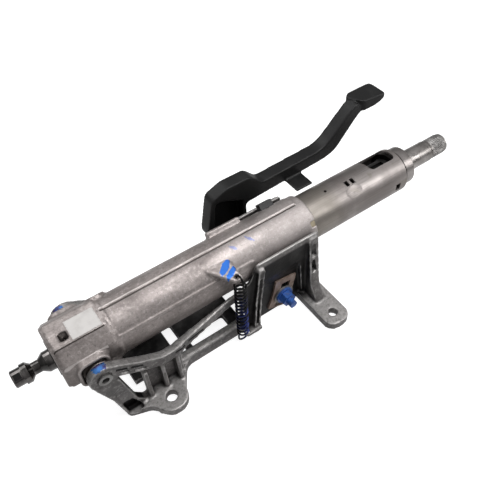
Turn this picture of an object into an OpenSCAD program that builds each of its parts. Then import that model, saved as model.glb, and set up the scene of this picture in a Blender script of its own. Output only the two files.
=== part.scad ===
// Manual tilt and reach steering column, lying on the four feet of its mounting bracket.
// X runs along the column towards the steering wheel, Z points up from the mounting plane.
// The origin is the middle of the upper bolt pair, on the mounting plane.

/* [Mounting] */
// Height of the column axis above the mounting plane
axis_h = 76; // [75:0.5:82]
// Distance along the column between the lower and the upper mounting bolts
bolt_rows = 174; // [168:1:182]
// Distance between the two upper mounting bolts
upper_bolt_gap = 136; // [130:1:146]
// Distance between the two lower mounting bolts
lower_bolt_gap = 102; // [100:1:112]
// Hole for an upper mounting bolt
upper_hole_d = 9; // [8.4:0.1:10.5]
// Hole for a lower mounting bolt
lower_hole_d = 10.5; // [8.4:0.1:11]
// Thickness of the bracket's feet
foot_t = 9; // [7:0.5:10]
// Width of an upper foot along the column
upper_foot_w = 27; // [24:0.5:30]
// Radius of the lobe round a lower bolt hole
lower_lobe_r = 15; // [12:0.5:17]

/* [Bracket] */
// Thickness of a cheek wall at the clamp
cheek_t = 3; // [2.5:0.1:4]
// Side clearance between a cheek and the jacket
cheek_clear = 0.8; // [0.5:0.1:1.5]
// Distance of the recessed clamp walls from the middle plane
clamp_wall_in = 23; // [22.5:0.1:24]
// Height of the cheeks' top edge above the column axis
cheek_top = 12.5; // [8:0.5:16]
// How far the cheeks reach behind the upper bolts
cheek_back = 62; // [58:0.5:66]
// How far the cheeks reach ahead of the upper bolts
cheek_front = 7; // [5:0.5:10]
// Width of the side frame at the tilt pivot
side_w = 8; // [6:0.5:9]
// Height of the upper chord of the side frame
chord_h = 10; // [8:0.5:12]
// Lowest point of the upper chord's top edge below the column axis
chord_dip = 22; // [20:0.5:26]
// Width of a lower rail
rail_w = 12; // [9:0.5:13]
// Height of a lower rail
rail_h = 12; // [9:0.5:14]
// Thickness of the bridge plates between the two rails
bridge_t = 6; // [4:0.5:8]
// Thickness of the ribs on the lower feet
rib_t = 4; // [3:0.5:5]

/* [Tilt pivot] */
// Distance of the tilt pivot behind the lower mounting bolts
pivot_back = 45; // [42:0.5:48]
// Depth of the tilt pivot below the column axis
pivot_drop = 4; // [2:0.5:8]
// Diameter of a pivot screw's shank
pivot_d = 12; // [10:0.5:13]
// Radius of the bracket's boss round a pivot screw
boss_r = 13; // [11:0.5:14]
// Width over the jacket's two pivot ears
ear_span = 63; // [61:0.5:66]
// Wall of a pivot bush
bush_t = 2; // [1.5:0.1:2.5]
// Tilt of the jacket each way from its middle, in degrees
tilt_deg = 2.5; // [1.5:0.1:3]

/* [Jacket] */
// Diameter of the jacket's barrel
jacket_d = 51.4; // [51:0.2:53]
// Step of the raised band along the far side of the barrel
band_step = 0.8; // [0.4:0.1:1.2]
// Length of the jacket
jacket_len = 256.5; // [252:0.5:262]
// Length of the jacket behind the tilt pivot
jacket_nose = 26; // [24:0.5:30]
// Length of the eight-sided end block
block_len = 47; // [44:0.5:52]
// Width across the flats of the end block
block_w = 51.6; // [50:0.2:54]
// Corner cut of the end block
block_cut = 12.3; // [10:0.1:14]
// Radial thickness of a slide bush
slide_bush_t = 0.95; // [0.9:0.05:1.2]
// Length of a slide bush
slide_bush_len = 13; // [10:0.5:16]

/* [Column tube] */
// Outer diameter of the column tube
tube_d = 46; // [45:0.1:46.4]
// Wall of the column tube
tube_t = 2; // [1.5:0.1:2.5]
// Length of the tube behind the reach guide
tube_tail = 82.5; // [78:0.5:88]
// Length of the tube outside the jacket at the middle of its travel
tube_out = 119.5; // [116:0.5:124]
// Travel of the tube each way from its middle
reach = 25; // [15:0.5:28]
// Length of the lock window
window_len = 32; // [26:0.5:34]
// Width of the lock window
window_w = 27; // [20:0.5:30]

/* [Shafts] */
// Diameter of the upper shaft
shaft_d = 22.5; // [22:0.1:23]
// Diameter of the splined steering wheel seat
spline_d = 20.6; // [20:0.1:21]
// Length of the splined seat
spline_len = 22.5; // [20:0.5:26]
// Length of the upper shaft between the bearing collar and the splined seat
shaft_out = 35.5; // [32:0.5:42]
// Core diameter of the thread for the steering wheel bolt
wheel_thread_d = 14; // [12:0.5:15]
// Depth of the thread for the steering wheel bolt
wheel_thread_len = 25; // [20:0.5:30]
// Diameter of the sliding lower shaft
slider_shaft_d = 16; // [15:0.1:16.4]
// Diameter of the stub for the lower joint
stub_d = 15; // [14:0.1:16]
// Length of the stub for the lower joint
stub_len = 8.5; // [8:0.5:12]
// Diameter of the collars beside the stub's waist
stub_collar_d = 17.7; // [17:0.1:17.9]
// Diameter of the stub's waist
waist_d = 10.7; // [9:0.1:12]
// Distance from the jacket's end to the tip of the stub
stub_out = 33.5; // [32:0.5:40]
// Length of the bearing collar outside the tube
collar_len = 14.5; // [12:0.5:16]
// Diameter of the bearing collar outside the tube
collar_d = 40; // [39:0.2:41]

/* [Bearings] */
// Radius of a bearing ball
ball_r = 1.9; // [1.6:0.1:2]
// Number of balls in the upper bearing
upper_balls = 18; // [12:1:20]
// Number of balls in the lower bearing
lower_balls = 16; // [10:1:17]
// Width of both bearings
bearing_w = 9; // [7:0.5:10]
// Radial thickness of the rings of both bearings
ring_t = 2.1; // [1.9:0.1:2.3]

/* [Clamp] */
// Distance of the clamp bolt behind the upper mounting bolts
clamp_back = 31.5; // [30:0.5:34]
// Depth of the clamp bolt below the column axis
clamp_drop = 54.5; // [52:0.5:56]
// Diameter of the clamp bolt
bolt_d = 8; // [7:0.1:9]
// Width of the sliders that guide the bolt in the tilt slots
slider_w = 10; // [9.6:0.1:12]
// Length of a slider along its tilt slot
slider_len = 14; // [12:0.5:16]
// Thickness of a friction plate
plate_t = 2; // [1.5:0.1:3]
// Thickness of the washer under the clamp nut
washer_t = 1.5; // [1:0.1:2.5]
// Base thickness of a cam
cam_t = 6; // [5:0.1:7]
// Height of the cam lobes
lobe_h = 1.5; // [1:0.1:2]
// Radius of the cams
cam_r = 12; // [11:0.5:12.5]
// Height of the nut's hexagon
nut_h = 7; // [6:0.1:8]
// Length of the bolt's tip beyond the nut
bolt_tip = 6.5; // [4:0.5:9]

/* [Lever] */
// Width of the lever's arm across the column
lever_w = 14; // [12:0.5:16]
// Radius of the lever round the clamp bolt
lever_hub_r = 12; // [11:0.5:13]
// Height of the arm's underside above the column axis at the hub end
arm_rise = 8; // [6:0.5:12]
// Thickness of the arm
arm_h = 17; // [14:0.5:18]
// Distance from the clamp bolt to the tip of the thumb pad
lever_len = 180; // [170:1:190]
// Width of the thumb pad across the column
pad_w = 25; // [20:0.5:30]
// Height of the thumb pad's top above the column axis
pad_rise = 66; // [60:0.5:72]
// Wall left round the hollow of the lever's base
lever_wall = 3.5; // [2.5:0.1:5]

/* [Tilt spring] */
// Diameter of the spring wire
wire_d = 1.8; // [1.4:0.1:2]
// Middle radius of the spring's coils
coil_r = 5.2; // [4.6:0.1:5.4]
// Number of coils
coils = 15; // [10:1:16]
// Distance of the spring behind the upper mounting bolts
spring_back = 86; // [84:0.5:88]

/* [Hidden] */
$fn = 96;
// Gap between flat faces of pieces that move on each other
face_gap = 0.3;
// Radial clearance of a shaft running in its hole
run_gap = 0.05;
// Radial clearance of a sleeve in its seat
seat_gap = 0.02;
// Clearance between a bearing ball and its tracks
ball_gap = 0.3;
// Overlap of a cutting tool past the face that it cuts
over = 1;

lower_x = -bolt_rows;
pivot_x = lower_x - pivot_back;
pivot_z = axis_h - pivot_drop;
pivot_r = pivot_d / 2;
ear_y = ear_span / 2;
boss_y = ear_y + 0.5;
side_y = boss_y + side_w;

jacket_r = jacket_d / 2;
band_r = jacket_r + band_step;
jacket_x0 = pivot_x - jacket_nose;
jacket_x1 = jacket_x0 + jacket_len;
block_x1 = jacket_x0 + block_len;

cheek_in = band_r + cheek_clear;
cheek_out = cheek_in + cheek_t;
cheek_z = axis_h + cheek_top;
clamp_wall_out = clamp_wall_in + cheek_t;
ear_out = clamp_wall_in - face_gap;
recess_z0 = axis_h - 30;
recess_z1 = axis_h - 14;

clamp_x = -clamp_back;
clamp_z = axis_h - clamp_drop;
clamp_dx = clamp_x - pivot_x;
clamp_dz = pivot_z - clamp_z;
clamp_arm = norm([clamp_dx, clamp_dz]);
clamp_ang = atan2(clamp_dz, clamp_dx);
slider_ang = slider_len / clamp_arm * 180 / PI;
slot_half = slider_w / 2 + face_gap;
slot_ang = tilt_deg + slider_ang / 2 + 0.2;
bolt_r = bolt_d / 2;

plate_out = clamp_wall_out + plate_t;
washer_in = plate_out + face_gap;
nut_in = washer_in + washer_t;
nut_flange_t = 2;
nut_out = nut_in + nut_flange_t + nut_h;
cam_mid = washer_in + cam_t + lobe_h;
lever_in = cam_mid + face_gap + lobe_h + cam_t;
lever_out = lever_in + lever_w;
head_in = lever_out + face_gap + washer_t;
head_t = 5;

tube_r = tube_d / 2;
tube_ri = tube_r - tube_t;
tube_x1 = jacket_x1 + tube_out;
slide_r = tube_r + run_gap;
bore_r = slide_r + slide_bush_t;
upper_bush_x = jacket_x1 - slide_bush_len - 0.5;
guide_x = upper_bush_x - 15.5;
tube_x0 = guide_x - tube_tail;
lower_bush_x = tube_x0 + reach + 3;
guide_tip_r = 3;
guide_slot = reach + guide_tip_r + 0.5;
guide_lean = 45;

shaft_r = shaft_d / 2;
collar_r = collar_d / 2;
collar_x1 = tube_x1 + collar_len;
spline_x = collar_x1 + shaft_out;
groove_w = 1.5;
shaft_x1 = spline_x + spline_len + groove_w;
shaft_x0 = tube_x0 + 90;
slider_shaft_r = slider_shaft_d / 2;
key_h = 1;
key_w = 3;
slider_shaft_x1 = shaft_x0 + reach + 60;

pitch_gap = 2 * ball_r - 1.5;
upper_seat_r = shaft_r + 2 * ring_t + pitch_gap;
upper_pitch_r = shaft_r + ring_t + pitch_gap / 2;
upper_bearing_x = tube_x1 + 2;
journal_r = 9;
lower_seat_r = journal_r + 2 * ring_t + pitch_gap;
lower_pitch_r = journal_r + ring_t + pitch_gap / 2;
clip_t = 1.2;
seal_t = 2;
lower_bearing_x = jacket_x0 + seal_t - 0.5 + clip_t + 0.2;
lower_shoulder_x = lower_bearing_x + bearing_w;

sleeve_r = 16.5;
carrier_plug = 8;
sleeve_x1 = tube_x1 - carrier_plug - 1;
window_x1 = tube_x1 - 4;
window_x0 = window_x1 - window_len;
window_lean = 22;
dimple_r = 40;
dimple_deep = 1.2;

wire_r = wire_d / 2;
spring_x = -spring_back;
spring_y = -(cheek_out + coil_r + wire_r + 0.7);
lug_t = 4;
lug_top = axis_h + 18;
foot_lug_top = 10;
hook_low_z = foot_lug_top - 2;
hook_high_z = lug_top - 0.5;
coil_z0 = hook_low_z + 5;
coil_z1 = hook_high_z - 5;

// Arc that rounds corner b between its neighbours a and c, each given as [x, y, radius]
function corner_arc(a, b, c, n = 6) =
    b[2] == undef || b[2] == 0 ? [[b[0], b[1]]] :
    let (p = [b[0], b[1]],
        u = [a[0] - b[0], a[1] - b[1]],
        v = [c[0] - b[0], c[1] - b[1]],
        un = u / norm(u),
        vn = v / norm(v),
        half = acos(un * vn) / 2,
        middle = p + (un + vn) / norm(un + vn) * b[2] / sin(half),
        first = p + un * b[2] / tan(half) - middle,
        turn = (un[0] * vn[1] - un[1] * vn[0] > 0 ? -1 : 1) * (180 - 2 * half))
    [for (i = [0 : n])
        let (t = turn * i / n)
        middle + [first[0] * cos(t) - first[1] * sin(t), first[0] * sin(t) + first[1] * cos(t)]];

// Outline with every corner [x, y, radius] rounded
function rounded(c) = [for (i = [0 : len(c) - 1])
    each corner_arc(c[(i + len(c) - 1) % len(c)], c[i], c[(i + 1) % len(c)])];

// Solid of an outline in X and Z, between two distances on the far side of the column axis
module side_solid(outline, y0, y1)
    translate([0, y1, 0]) rotate([90, 0, 0]) linear_extrude(y1 - y0) polygon(rounded(outline));

// Solid of an outline in Y and Z, between two stations along the column
module cross_solid(outline, x0, x1)
    translate([x0, 0, 0]) rotate([90, 0, 90]) linear_extrude(x1 - x0) polygon(rounded(outline));

// Solid of an outline in X and Y, between two heights
module plan_solid(outline, z0, z1)
    translate([0, 0, z0]) linear_extrude(z1 - z0) polygon(rounded(outline));

// Piece turned about the column axis from an outline of [radius, station] points
module turned(outline, start = 0, sweep = 360)
    translate([0, 0, axis_h]) rotate([0, 90, 0]) rotate([0, 0, start])
        rotate_extrude(angle = sweep) polygon(outline);

// Plain ring about the column axis
module ring(r0, r1, x0, x1, start = 0, sweep = 360)
    turned([[r0, x0], [r1, x0], [r1, x1], [r0, x1]], start, sweep);

// Cylinder across the column
module cross_pin(r, x, z, y0, y1)
    translate([x, y0, z]) rotate([-90, 0, 0]) cylinder(r = r, h = y1 - y0);

// Stretch of the ring round the tilt pivot, between two angles below the horizontal
module pivot_arc(r0, r1, a0, a1, y0, y1)
    translate([pivot_x, y0, pivot_z]) rotate([-90, 0, 0]) rotate([0, 0, a0])
        rotate_extrude(angle = a1 - a0) translate([r0, 0]) square([r1 - r0, y1 - y0]);

// Children set on the column axis at a station, with their Z leaning towards the far side
module on_axis(x, lean)
    translate([x, 0, axis_h]) rotate([-lean, 0, 0]) children();

// Children on the far side and mirrored to the near side
module both_sides() {
    children();
    mirror([0, 1, 0]) children();
}

// Mounting bracket, one casting with two side frames, two cheeks and four feet

// Plate from the tilt pivot down to the lower foot
module pivot_leg() {
    cross_pin(boss_r, pivot_x, pivot_z, boss_y, side_y);
    side_solid([[pivot_x - 11, pivot_z - 7], [pivot_x - 1, 36], [lower_x - 39, 0], [lower_x - 12, 0],
        [lower_x - 26, 18, 8], [pivot_x + 10.5, pivot_z - 12]], boss_y, side_y + 1);
}

// Shallow recess along the leg and a deep pocket at its foot
module leg_pockets() {
    side_solid([[pivot_x + 1, 46, 2], [pivot_x + 4.5, 20], [lower_x - 29, 20], [pivot_x + 9.5, 49, 2]],
        side_y - 0.5, side_y + 2);
    side_solid([[pivot_x + 4.5, 22, 2], [lower_x - 37, 3.5, 2], [lower_x - 23, 3.5, 2], [lower_x - 29, 20, 3]],
        side_y - 5, side_y + 6);
}

// Upper chord, from the pivot boss down past the lower foot
module lower_chord() {
    dip = axis_h - chord_dip;
    difference() {
        side_solid([[pivot_x - 4, pivot_z + 8, 4], [pivot_x + 11, pivot_z + 8.5, 8],
            [lower_x - 12, dip + 11, 25], [lower_x + 6, dip, 14], [lower_x + 24, dip + 0.5],
            [lower_x + 24, dip + 0.5 - chord_h], [lower_x + 4, dip - 1 - chord_h, 16],
            [lower_x - 16, dip - 1, 25], [pivot_x + 8, pivot_z - 6], [pivot_x - 4, pivot_z - 6]],
            boss_y, side_y);
        for (x = [lower_x - 30, lower_x - 16])
            side_solid([[x - 5.5, dip + 17 - 0.66 * (x - lower_x + 30)],
                [x + 5.5, dip + 11 - 0.66 * (x - lower_x + 30)],
                [x + 5.5, dip + 6.5 - 0.66 * (x - lower_x + 30)],
                [x - 5.5, dip + 12.5 - 0.66 * (x - lower_x + 30)]], side_y - 3, side_y + over);
    }
}

// Upper chord, from the lower foot up to the cheek
module upper_chord() {
    dip = axis_h - chord_dip;
    x0 = lower_x + 17;
    x1 = -cheek_back - 18;
    intersection() {
        side_solid([[x0, dip + 0.5], [x1, dip + 12], [x1, dip + 12 - chord_h], [x0, dip + 0.5 - chord_h]],
            cheek_in - over, side_y + over);
        plan_solid([[x0, boss_y], [x0, side_y], [x1 - 14, cheek_out + 0.3], [x1, cheek_out],
            [x1, cheek_in], [x1 - 14, cheek_in]], 0, axis_h);
    }
}

// Lower foot with its bolt lobe, its upright web and three ribs
module lower_foot() {
    hole_y = lower_bolt_gap / 2;
    lobe = lower_lobe_r;
    dip = axis_h - chord_dip - chord_h;
    web_in = boss_y + 2;
    difference() {
        plan_solid([[lower_x - 39, boss_y], [lower_x - 39, 43, 5], [lower_x - lobe, hole_y, 10],
            [lower_x - lobe, hole_y + lobe, lobe - 0.1], [lower_x + lobe, hole_y + lobe, lobe - 0.1],
            [lower_x + lobe, hole_y, 8], [lower_x + 28, cheek_out, 12], [lower_x + 34, cheek_out],
            [lower_x + 34, cheek_out - rail_w], [lower_x - 10, cheek_out - rail_w],
            [lower_x - 15, boss_y]], 0, foot_t);
        translate([lower_x, hole_y, -over]) cylinder(d = lower_hole_d, h = foot_t + 2 * over);
    }
    side_solid([[lower_x - 15, foot_t - over], [lower_x + 24, foot_t - over], [lower_x + 24, dip + 2],
        [lower_x + 4, dip + 1], [lower_x - 15, dip + 10]], boss_y, web_in);
    for (x = [-13.5, 2.5, 17.5])
        cross_solid([[boss_y, dip + 3], [side_y, dip + 1], [side_y + 2, foot_t - over],
            [boss_y, foot_t - over]], lower_x + x - rib_t / 2, lower_x + x + rib_t / 2);
}

// Cheek: a frame beside the barrel, and a clamp wall with the tilt slot that steps in below the barrel
module cheek() {
    dip = axis_h - chord_dip;
    difference() {
        side_solid([[-cheek_back, cheek_z, 4], [cheek_front, cheek_z, 3], [cheek_front, 0],
            [-cheek_back - 10, 0], [-cheek_back - 22, dip], [-cheek_back - 22, dip + 12],
            [-cheek_back - 10, dip + 16, 5]], cheek_in, cheek_out);
        side_solid([[-cheek_back + 6, recess_z1, 3], [-14, recess_z1, 3], [-8, -over], [-cheek_back - 5, -over]],
            cheek_in - over, cheek_out + over);
    }
    difference() {
        cross_solid([[clamp_wall_in, 0], [clamp_wall_out, 0], [clamp_wall_out, recess_z0],
            [cheek_out, recess_z1], [cheek_out, recess_z1 + 2], [cheek_in, recess_z1 + 2],
            [cheek_in, recess_z1], [clamp_wall_in, recess_z0]], -cheek_back - 5, -5);
        pivot_arc(clamp_arm - slot_half, clamp_arm + slot_half, clamp_ang - slot_ang, clamp_ang + slot_ang,
            clamp_wall_in - over, clamp_wall_out + over);
    }
}

// Grooved rib at the cheek's lower end, leaning back towards the rail
module grooved_rib() {
    lean = 7.5;
    rib_w = 7;
    groove = 3;
    translate([-cheek_back - 1, 0, cheek_z]) rotate([0, lean, 0]) translate([0, 0, -cheek_z])
        difference() {
            cross_solid([[cheek_in, cheek_z - 1], [cheek_out + 4.5, cheek_z - 5, 3],
                [cheek_out + 5.5, cheek_z / 2], [cheek_out + 9, 6], [cheek_out + 9, 1.5],
                [clamp_wall_in, 1.5], [clamp_wall_in, recess_z0], [cheek_in, recess_z1]],
                0, rib_w);
            translate([(rib_w - groove) / 2, cheek_out + 2.5, 12]) cube([groove, 20, cheek_z - 26]);
        }
}

// Ribbed gusset at the cheek's upper end, flaring out to the upper foot
module foot_gusset() {
    difference() {
        cross_solid([[cheek_in, cheek_z - 0.5], [cheek_out + 3, cheek_z - 3, 2], [cheek_out + 6, cheek_z - 30],
            [cheek_out + 10, foot_t + 17, 20], [cheek_out + 21, foot_t], [cheek_out + 21, foot_t - over],
            [clamp_wall_in, foot_t - over], [clamp_wall_in, recess_z0], [cheek_in, recess_z1]], -6, 5);
        for (z = [cheek_z - 26, cheek_z - 46])
            side_solid([[-3.5, z], [2.5, z], [2.5 + (z - cheek_z) / 20, z + 16], [-3.5, z + 16]],
                cheek_out + 1.5, cheek_out + 20);
    }
}

// Upper foot with its bolt hole
module upper_foot() {
    hole_y = upper_bolt_gap / 2;
    half_w = upper_foot_w / 2;
    tip_y = hole_y + half_w;
    difference() {
        plan_solid([[-half_w, cheek_in], [half_w, cheek_in], [half_w, tip_y, 10], [-half_w, tip_y, 10]],
            0, foot_t);
        translate([0, hole_y, -over]) cylinder(d = upper_hole_d, h = foot_t + 2 * over);
    }
}

// Lug that holds the lower hook of the tilt spring
module spring_foot() {
    hole_x = spring_x + coil_r;
    difference() {
        plan_solid([[hole_x - 3.5, spring_y + 4, 3], [hole_x - 3.5, spring_y - 4, 3],
            [-cheek_back - 4, spring_y - 4], [-cheek_back - 4, -cheek_in], [-cheek_back - 12, -cheek_in],
            [-cheek_back - 12, spring_y + 4]],
            foot_lug_top - lug_t, foot_lug_top);
        translate([hole_x, spring_y, 0]) cylinder(r = 2, h = axis_h);
    }
}

// Two plates that join the rails, the longer one open beside the near rail
module bridge_plates() {
    rail_in = cheek_out - rail_w;
    open_x0 = lower_x + 43;
    open_x1 = -cheek_back - 28;
    difference() {
        for (span = [[lower_x - 20, lower_x + 26], [lower_x + 36, -cheek_back - 14]])
            translate([span[0], -rail_in - over, 1])
                cube([span[1] - span[0], 2 * (rail_in + over), bridge_t]);
        translate([open_x0, -rail_in, 0]) cube([open_x1 - open_x0, rail_in - 4, axis_h]);
    }
}

module mounting_bracket() color("#85807d") {
    both_sides() {
        difference() {
            union() {
                pivot_leg();
                lower_chord();
                lower_foot();
            }
            cross_pin(pivot_r, pivot_x, pivot_z, boss_y - over, side_y + 2 * over);
            leg_pockets();
        }
        upper_chord();
        cheek();
        grooved_rib();
        foot_gusset();
        upper_foot();
        cross_solid([[cheek_out - rail_w, 0], [cheek_out, 0], [cheek_out, rail_h, 5],
            [cheek_out - rail_w, rail_h, 5]], lower_x + 24, -cheek_back - 4);
    }
    spring_foot();
    bridge_plates();
}

// Screws that carry the jacket in the bracket's bosses
module pivot_screws() color("#8f8f92") both_sides()
    difference() {
        cross_pin(pivot_r, pivot_x, pivot_z, ear_y - 6, side_y + 1.5);
        translate([pivot_x, side_y - 4, pivot_z]) rotate([-90, 0, 0]) cylinder(r = pivot_r * 0.6, h = 8, $fn = 6);
    }

// Slotted friction plates on the outside of the cheeks
module friction_plates() color("#8a5f45") both_sides()
    difference() {
        pivot_arc(clamp_arm - slot_half - 8, clamp_arm + slot_half + 6, clamp_ang - slot_ang - 1.7,
            clamp_ang + slot_ang + 0.5, clamp_wall_out, plate_out);
        pivot_arc(clamp_arm - slot_half, clamp_arm + slot_half, clamp_ang - slot_ang, clamp_ang + slot_ang,
            clamp_wall_out - over, plate_out + over);
    }

// Ring of points round a coil's wire, at a share t of the coil's height
function wire_ring(t, n) =
    let (a = (360 * coils - 90) * t, z = coil_z0 + (coil_z1 - coil_z0) * t)
    [for (i = [0 : n - 1])
        let (b = 360 * i / n, r = coil_r + wire_r * cos(b))
        [spring_x + r * cos(a), spring_y + r * sin(a), z + wire_r * sin(b)]];

// Half loop of wire at an end of the spring, opening up (1) or down (-1), with a long and a short leg
module spring_hook(z, way, turn)
    translate([spring_x, spring_y, z]) rotate([0, 0, turn]) {
        rotate([way * 90, 0, 0])
            rotate_extrude(angle = 180) translate([coil_r, 0]) circle(r = wire_r, $fn = 16);
        for (leg = [[1, 5.5], [-1, 4]])
            translate([leg[0] * coil_r, 0, 0]) rotate([way == 1 ? 180 : 0, 0, 0])
                cylinder(r = wire_r, h = leg[1], $fn = 16);
    }

// Tension spring that balances the column's weight, from the bracket's lug to the jacket's ear
module tilt_spring() color("#3c3f52") {
    sides = 8;
    steps = 16 * coils;
    polyhedron(
        points = [for (k = [0 : steps]) each wire_ring(k / steps, sides)],
        faces = concat(
            [[for (i = [sides - 1 : -1 : 0]) i]],
            [for (k = [0 : steps - 1]) for (i = [0 : sides - 1])
                let (j = (i + 1) % sides)
                [k * sides + i, k * sides + j, (k + 1) * sides + j, (k + 1) * sides + i]],
            [[for (i = [0 : sides - 1]) steps * sides + i]]));
    spring_hook(hook_high_z, 1, -90);
    spring_hook(hook_low_z, -1, 0);
}

// Column jacket, one casting that tilts in the bracket and holds the sliding tube

// Eight-sided outline of the end block, taken in by an amount
function block_outline(inset) =
    let (w = block_w / 2 - inset, c = w - block_cut)
    [for (p = [[w, -c], [w, c], [c, w], [-c, w], [-w, c], [-w, -c], [-c, -w], [c, -w]]) p + [0, axis_h]];

// Ear round a pivot, a rimmed dish with a seat for the bush in its middle
module pivot_ear() {
    rim = 3;
    dish = 4;
    back = 17;
    front = 11.5;
    top = 17;
    low = 11;
    difference() {
        side_solid([[pivot_x - back, pivot_z - low, 6], [pivot_x - back + 1, pivot_z + top, 8],
            [pivot_x + front, pivot_z + top + 1, 8], [pivot_x + front, pivot_z - low, 6]], jacket_r - 5, ear_y);
        side_solid([[pivot_x - back + rim, pivot_z - low + rim, 4],
            [pivot_x - back + 1 + rim, pivot_z + top - rim, 5],
            [pivot_x + front - rim, pivot_z + top + 1 - rim, 5],
            [pivot_x + front - rim, pivot_z - low + rim, 4]], ear_y - dish, ear_y + over);
    }
    cross_pin(pivot_r + bush_t + 2.5, pivot_x, pivot_z, jacket_r - 5, ear_y);
}

module end_block() {
    rim = 3;
    cross_solid(block_outline(1.2), jacket_x0, jacket_x0 + rim);
    cross_solid(block_outline(0), jacket_x0 + rim, block_x1);
    ring(0, band_r + 0.4, block_x1 + 1, block_x1 + 3.5);
    on_axis(block_x1 + 4, 51) cylinder(r = 9, h = band_r + 2.6);
    both_sides() pivot_ear();
}

module barrel() {
    chamfer = 0.7;
    turned([[0, block_x1 - over], [jacket_r, block_x1 - over], [jacket_r, jacket_x1 - chamfer],
        [jacket_r - chamfer, jacket_x1], [0, jacket_x1]]);
    // Raised band on the far side, ending along the top of the barrel
    ring(jacket_r - 2, band_r, block_x1 - over, jacket_x1 - 8, 70, 110);
    // Rib along the near side
    ring(jacket_r - 2, jacket_r + 1.1, block_x1 - over, -cheek_back, 241, 4);
    // Grooved pad on the far side beside the lever
    on_axis(guide_x - 47, guide_lean) difference() {
        translate([-18, -4, 0]) cube([35, 8, 31.8]);
        translate([-20, -1, 30.3]) cube([40, 2, 3]);
    }
}

// Ears under the barrel that the clamp bolt squeezes
module clamp_ears() both_sides()
    side_solid([[clamp_x - 19, axis_h], [clamp_x + 20, axis_h], [clamp_x + 15, clamp_z - 2, 8],
        [clamp_x + 8, clamp_z - 11, 8], [clamp_x - 8, clamp_z - 11, 8], [clamp_x - 14, clamp_z - 2, 8]],
        ear_out - 8, ear_out);

// Ear with a sloping top that the spring's upper hook hangs on
module spring_ear() {
    tip = [spring_x, spring_y + 3.2, lug_top - lug_t];
    hull() {
        translate(tip + [-2.5, 0, 0]) cylinder(r = 2.6, h = lug_t, $fn = 32);
        translate(tip + [2, 0, 0]) cylinder(r = 2.6, h = lug_t, $fn = 32);
        on_axis(spring_x - 20, -30) translate([0, 0, jacket_r - 5]) cylinder(r = 2, h = 4.4, $fn = 32);
        on_axis(spring_x + 2, -33) translate([0, 0, jacket_r - 5]) cylinder(r = 2, h = 4.4, $fn = 32);
    }
}

module jacket_bore() {
    turned([[0, jacket_x0 - over], [lower_seat_r, jacket_x0 - over], [lower_seat_r, lower_shoulder_x],
        [journal_r + 2.5, lower_shoulder_x], [journal_r + 2.5, lower_shoulder_x + 6],
        [18, lower_shoulder_x + 6], [18, tube_x0 - reach - 45], [bore_r, tube_x0 - reach - 45],
        [bore_r, jacket_x1 + over], [0, jacket_x1 + over]]);
    ring(lower_seat_r - over, lower_seat_r + 1, lower_bearing_x - clip_t, lower_bearing_x);
}

module column_jacket() color("#b5aca8") difference() {
    union() {
        end_block();
        barrel();
        clamp_ears();
        spring_ear();
    }
    jacket_bore();
    both_sides() cross_pin(pivot_r + run_gap + bush_t, pivot_x, pivot_z, jacket_r - 6, ear_y + over);
    cross_pin(bolt_r + run_gap, clamp_x, clamp_z, -axis_h, axis_h);
    // Hole for the spring's hook
    translate([spring_x, spring_y + coil_r, axis_h]) cylinder(r = 2, h = axis_h);
    // Slit that lets the clamp close on the tube
    translate([clamp_x - 30, -1.5, axis_h - jacket_r - over]) cube([80, 3, jacket_r + over - tube_r + 2]);
    // Hole for the reach guide
    on_axis(guide_x, guide_lean) cylinder(r = guide_tip_r + 1, h = jacket_r + 10);
    // Shallow recess with a pin hole beside the label
    translate([jacket_x0 + 10, -9, axis_h + block_w / 2 - 2]) cube([8, 9, 4]);
    translate([jacket_x0 + 14, -6, axis_h + block_w / 2 - 6]) cylinder(d = 3, h = 8);
    // Notch in the rim over the upper bush
    on_axis(jacket_x1, -56) translate([-6, -2.5, 0]) cube([6 + over, 5, jacket_r + 5]);
}

// Flanged bushes in the jacket's pivot ears
module pivot_bushes() color("#2e2d2c") both_sides()
    difference() {
        union() {
            cross_pin(pivot_r + run_gap + bush_t, pivot_x, pivot_z, jacket_r - 0.2, ear_y);
            cross_pin(pivot_r + bush_t + 2, pivot_x, pivot_z, ear_y, ear_y + 0.3);
        }
        cross_pin(pivot_r + run_gap, pivot_x, pivot_z, 0, ear_y + 2);
    }

// Sleeves that the tube slides in
module upper_slide_bush() color("#c9bd96")
    ring(slide_r, bore_r - seat_gap, upper_bush_x, upper_bush_x + slide_bush_len);

module lower_slide_bush() color("#c9bd96")
    ring(slide_r, bore_r - seat_gap, lower_bush_x, lower_bush_x + slide_bush_len);

// Ball bearing parts, cut by the track that the balls run in
module track(pitch_r, x)
    translate([x, 0, axis_h]) rotate([0, 90, 0])
        rotate_extrude() translate([pitch_r, 0]) circle(r = ball_r + ball_gap, $fn = 32);

module bearing_ring(r0, r1, pitch_r, x)
    difference() {
        ring(r0, r1, x, x + bearing_w);
        track(pitch_r, x + bearing_w / 2);
    }

module balls(pitch_r, x, count)
    for (i = [0 : count - 1])
        on_axis(x + bearing_w / 2, 360 * i / count) translate([0, 0, pitch_r]) sphere(r = ball_r, $fn = 32);

module clip(r0, r1, x)
    ring(r0, r1, x, x + clip_t, 20, 320);

module lower_bearing_outer_ring() color("#9a9a9c")
    bearing_ring(lower_seat_r - ring_t, lower_seat_r, lower_pitch_r, lower_bearing_x);

module lower_bearing_balls() color("#c8c8ca")
    balls(lower_pitch_r, lower_bearing_x, lower_balls);

module lower_bearing_clip() color("#4a4a4c")
    clip(lower_seat_r - 2, lower_seat_r + 1, lower_bearing_x - clip_t);

module lower_bearing_inner_ring() color("#9a9a9c")
    bearing_ring(journal_r, journal_r + ring_t, lower_pitch_r, lower_bearing_x);

// Dust seal at the jacket's lower end
module lower_seal() color("#232222")
    ring(journal_r + face_gap, lower_seat_r, jacket_x0 - 0.5, jacket_x0 - 0.5 + seal_t);

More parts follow.
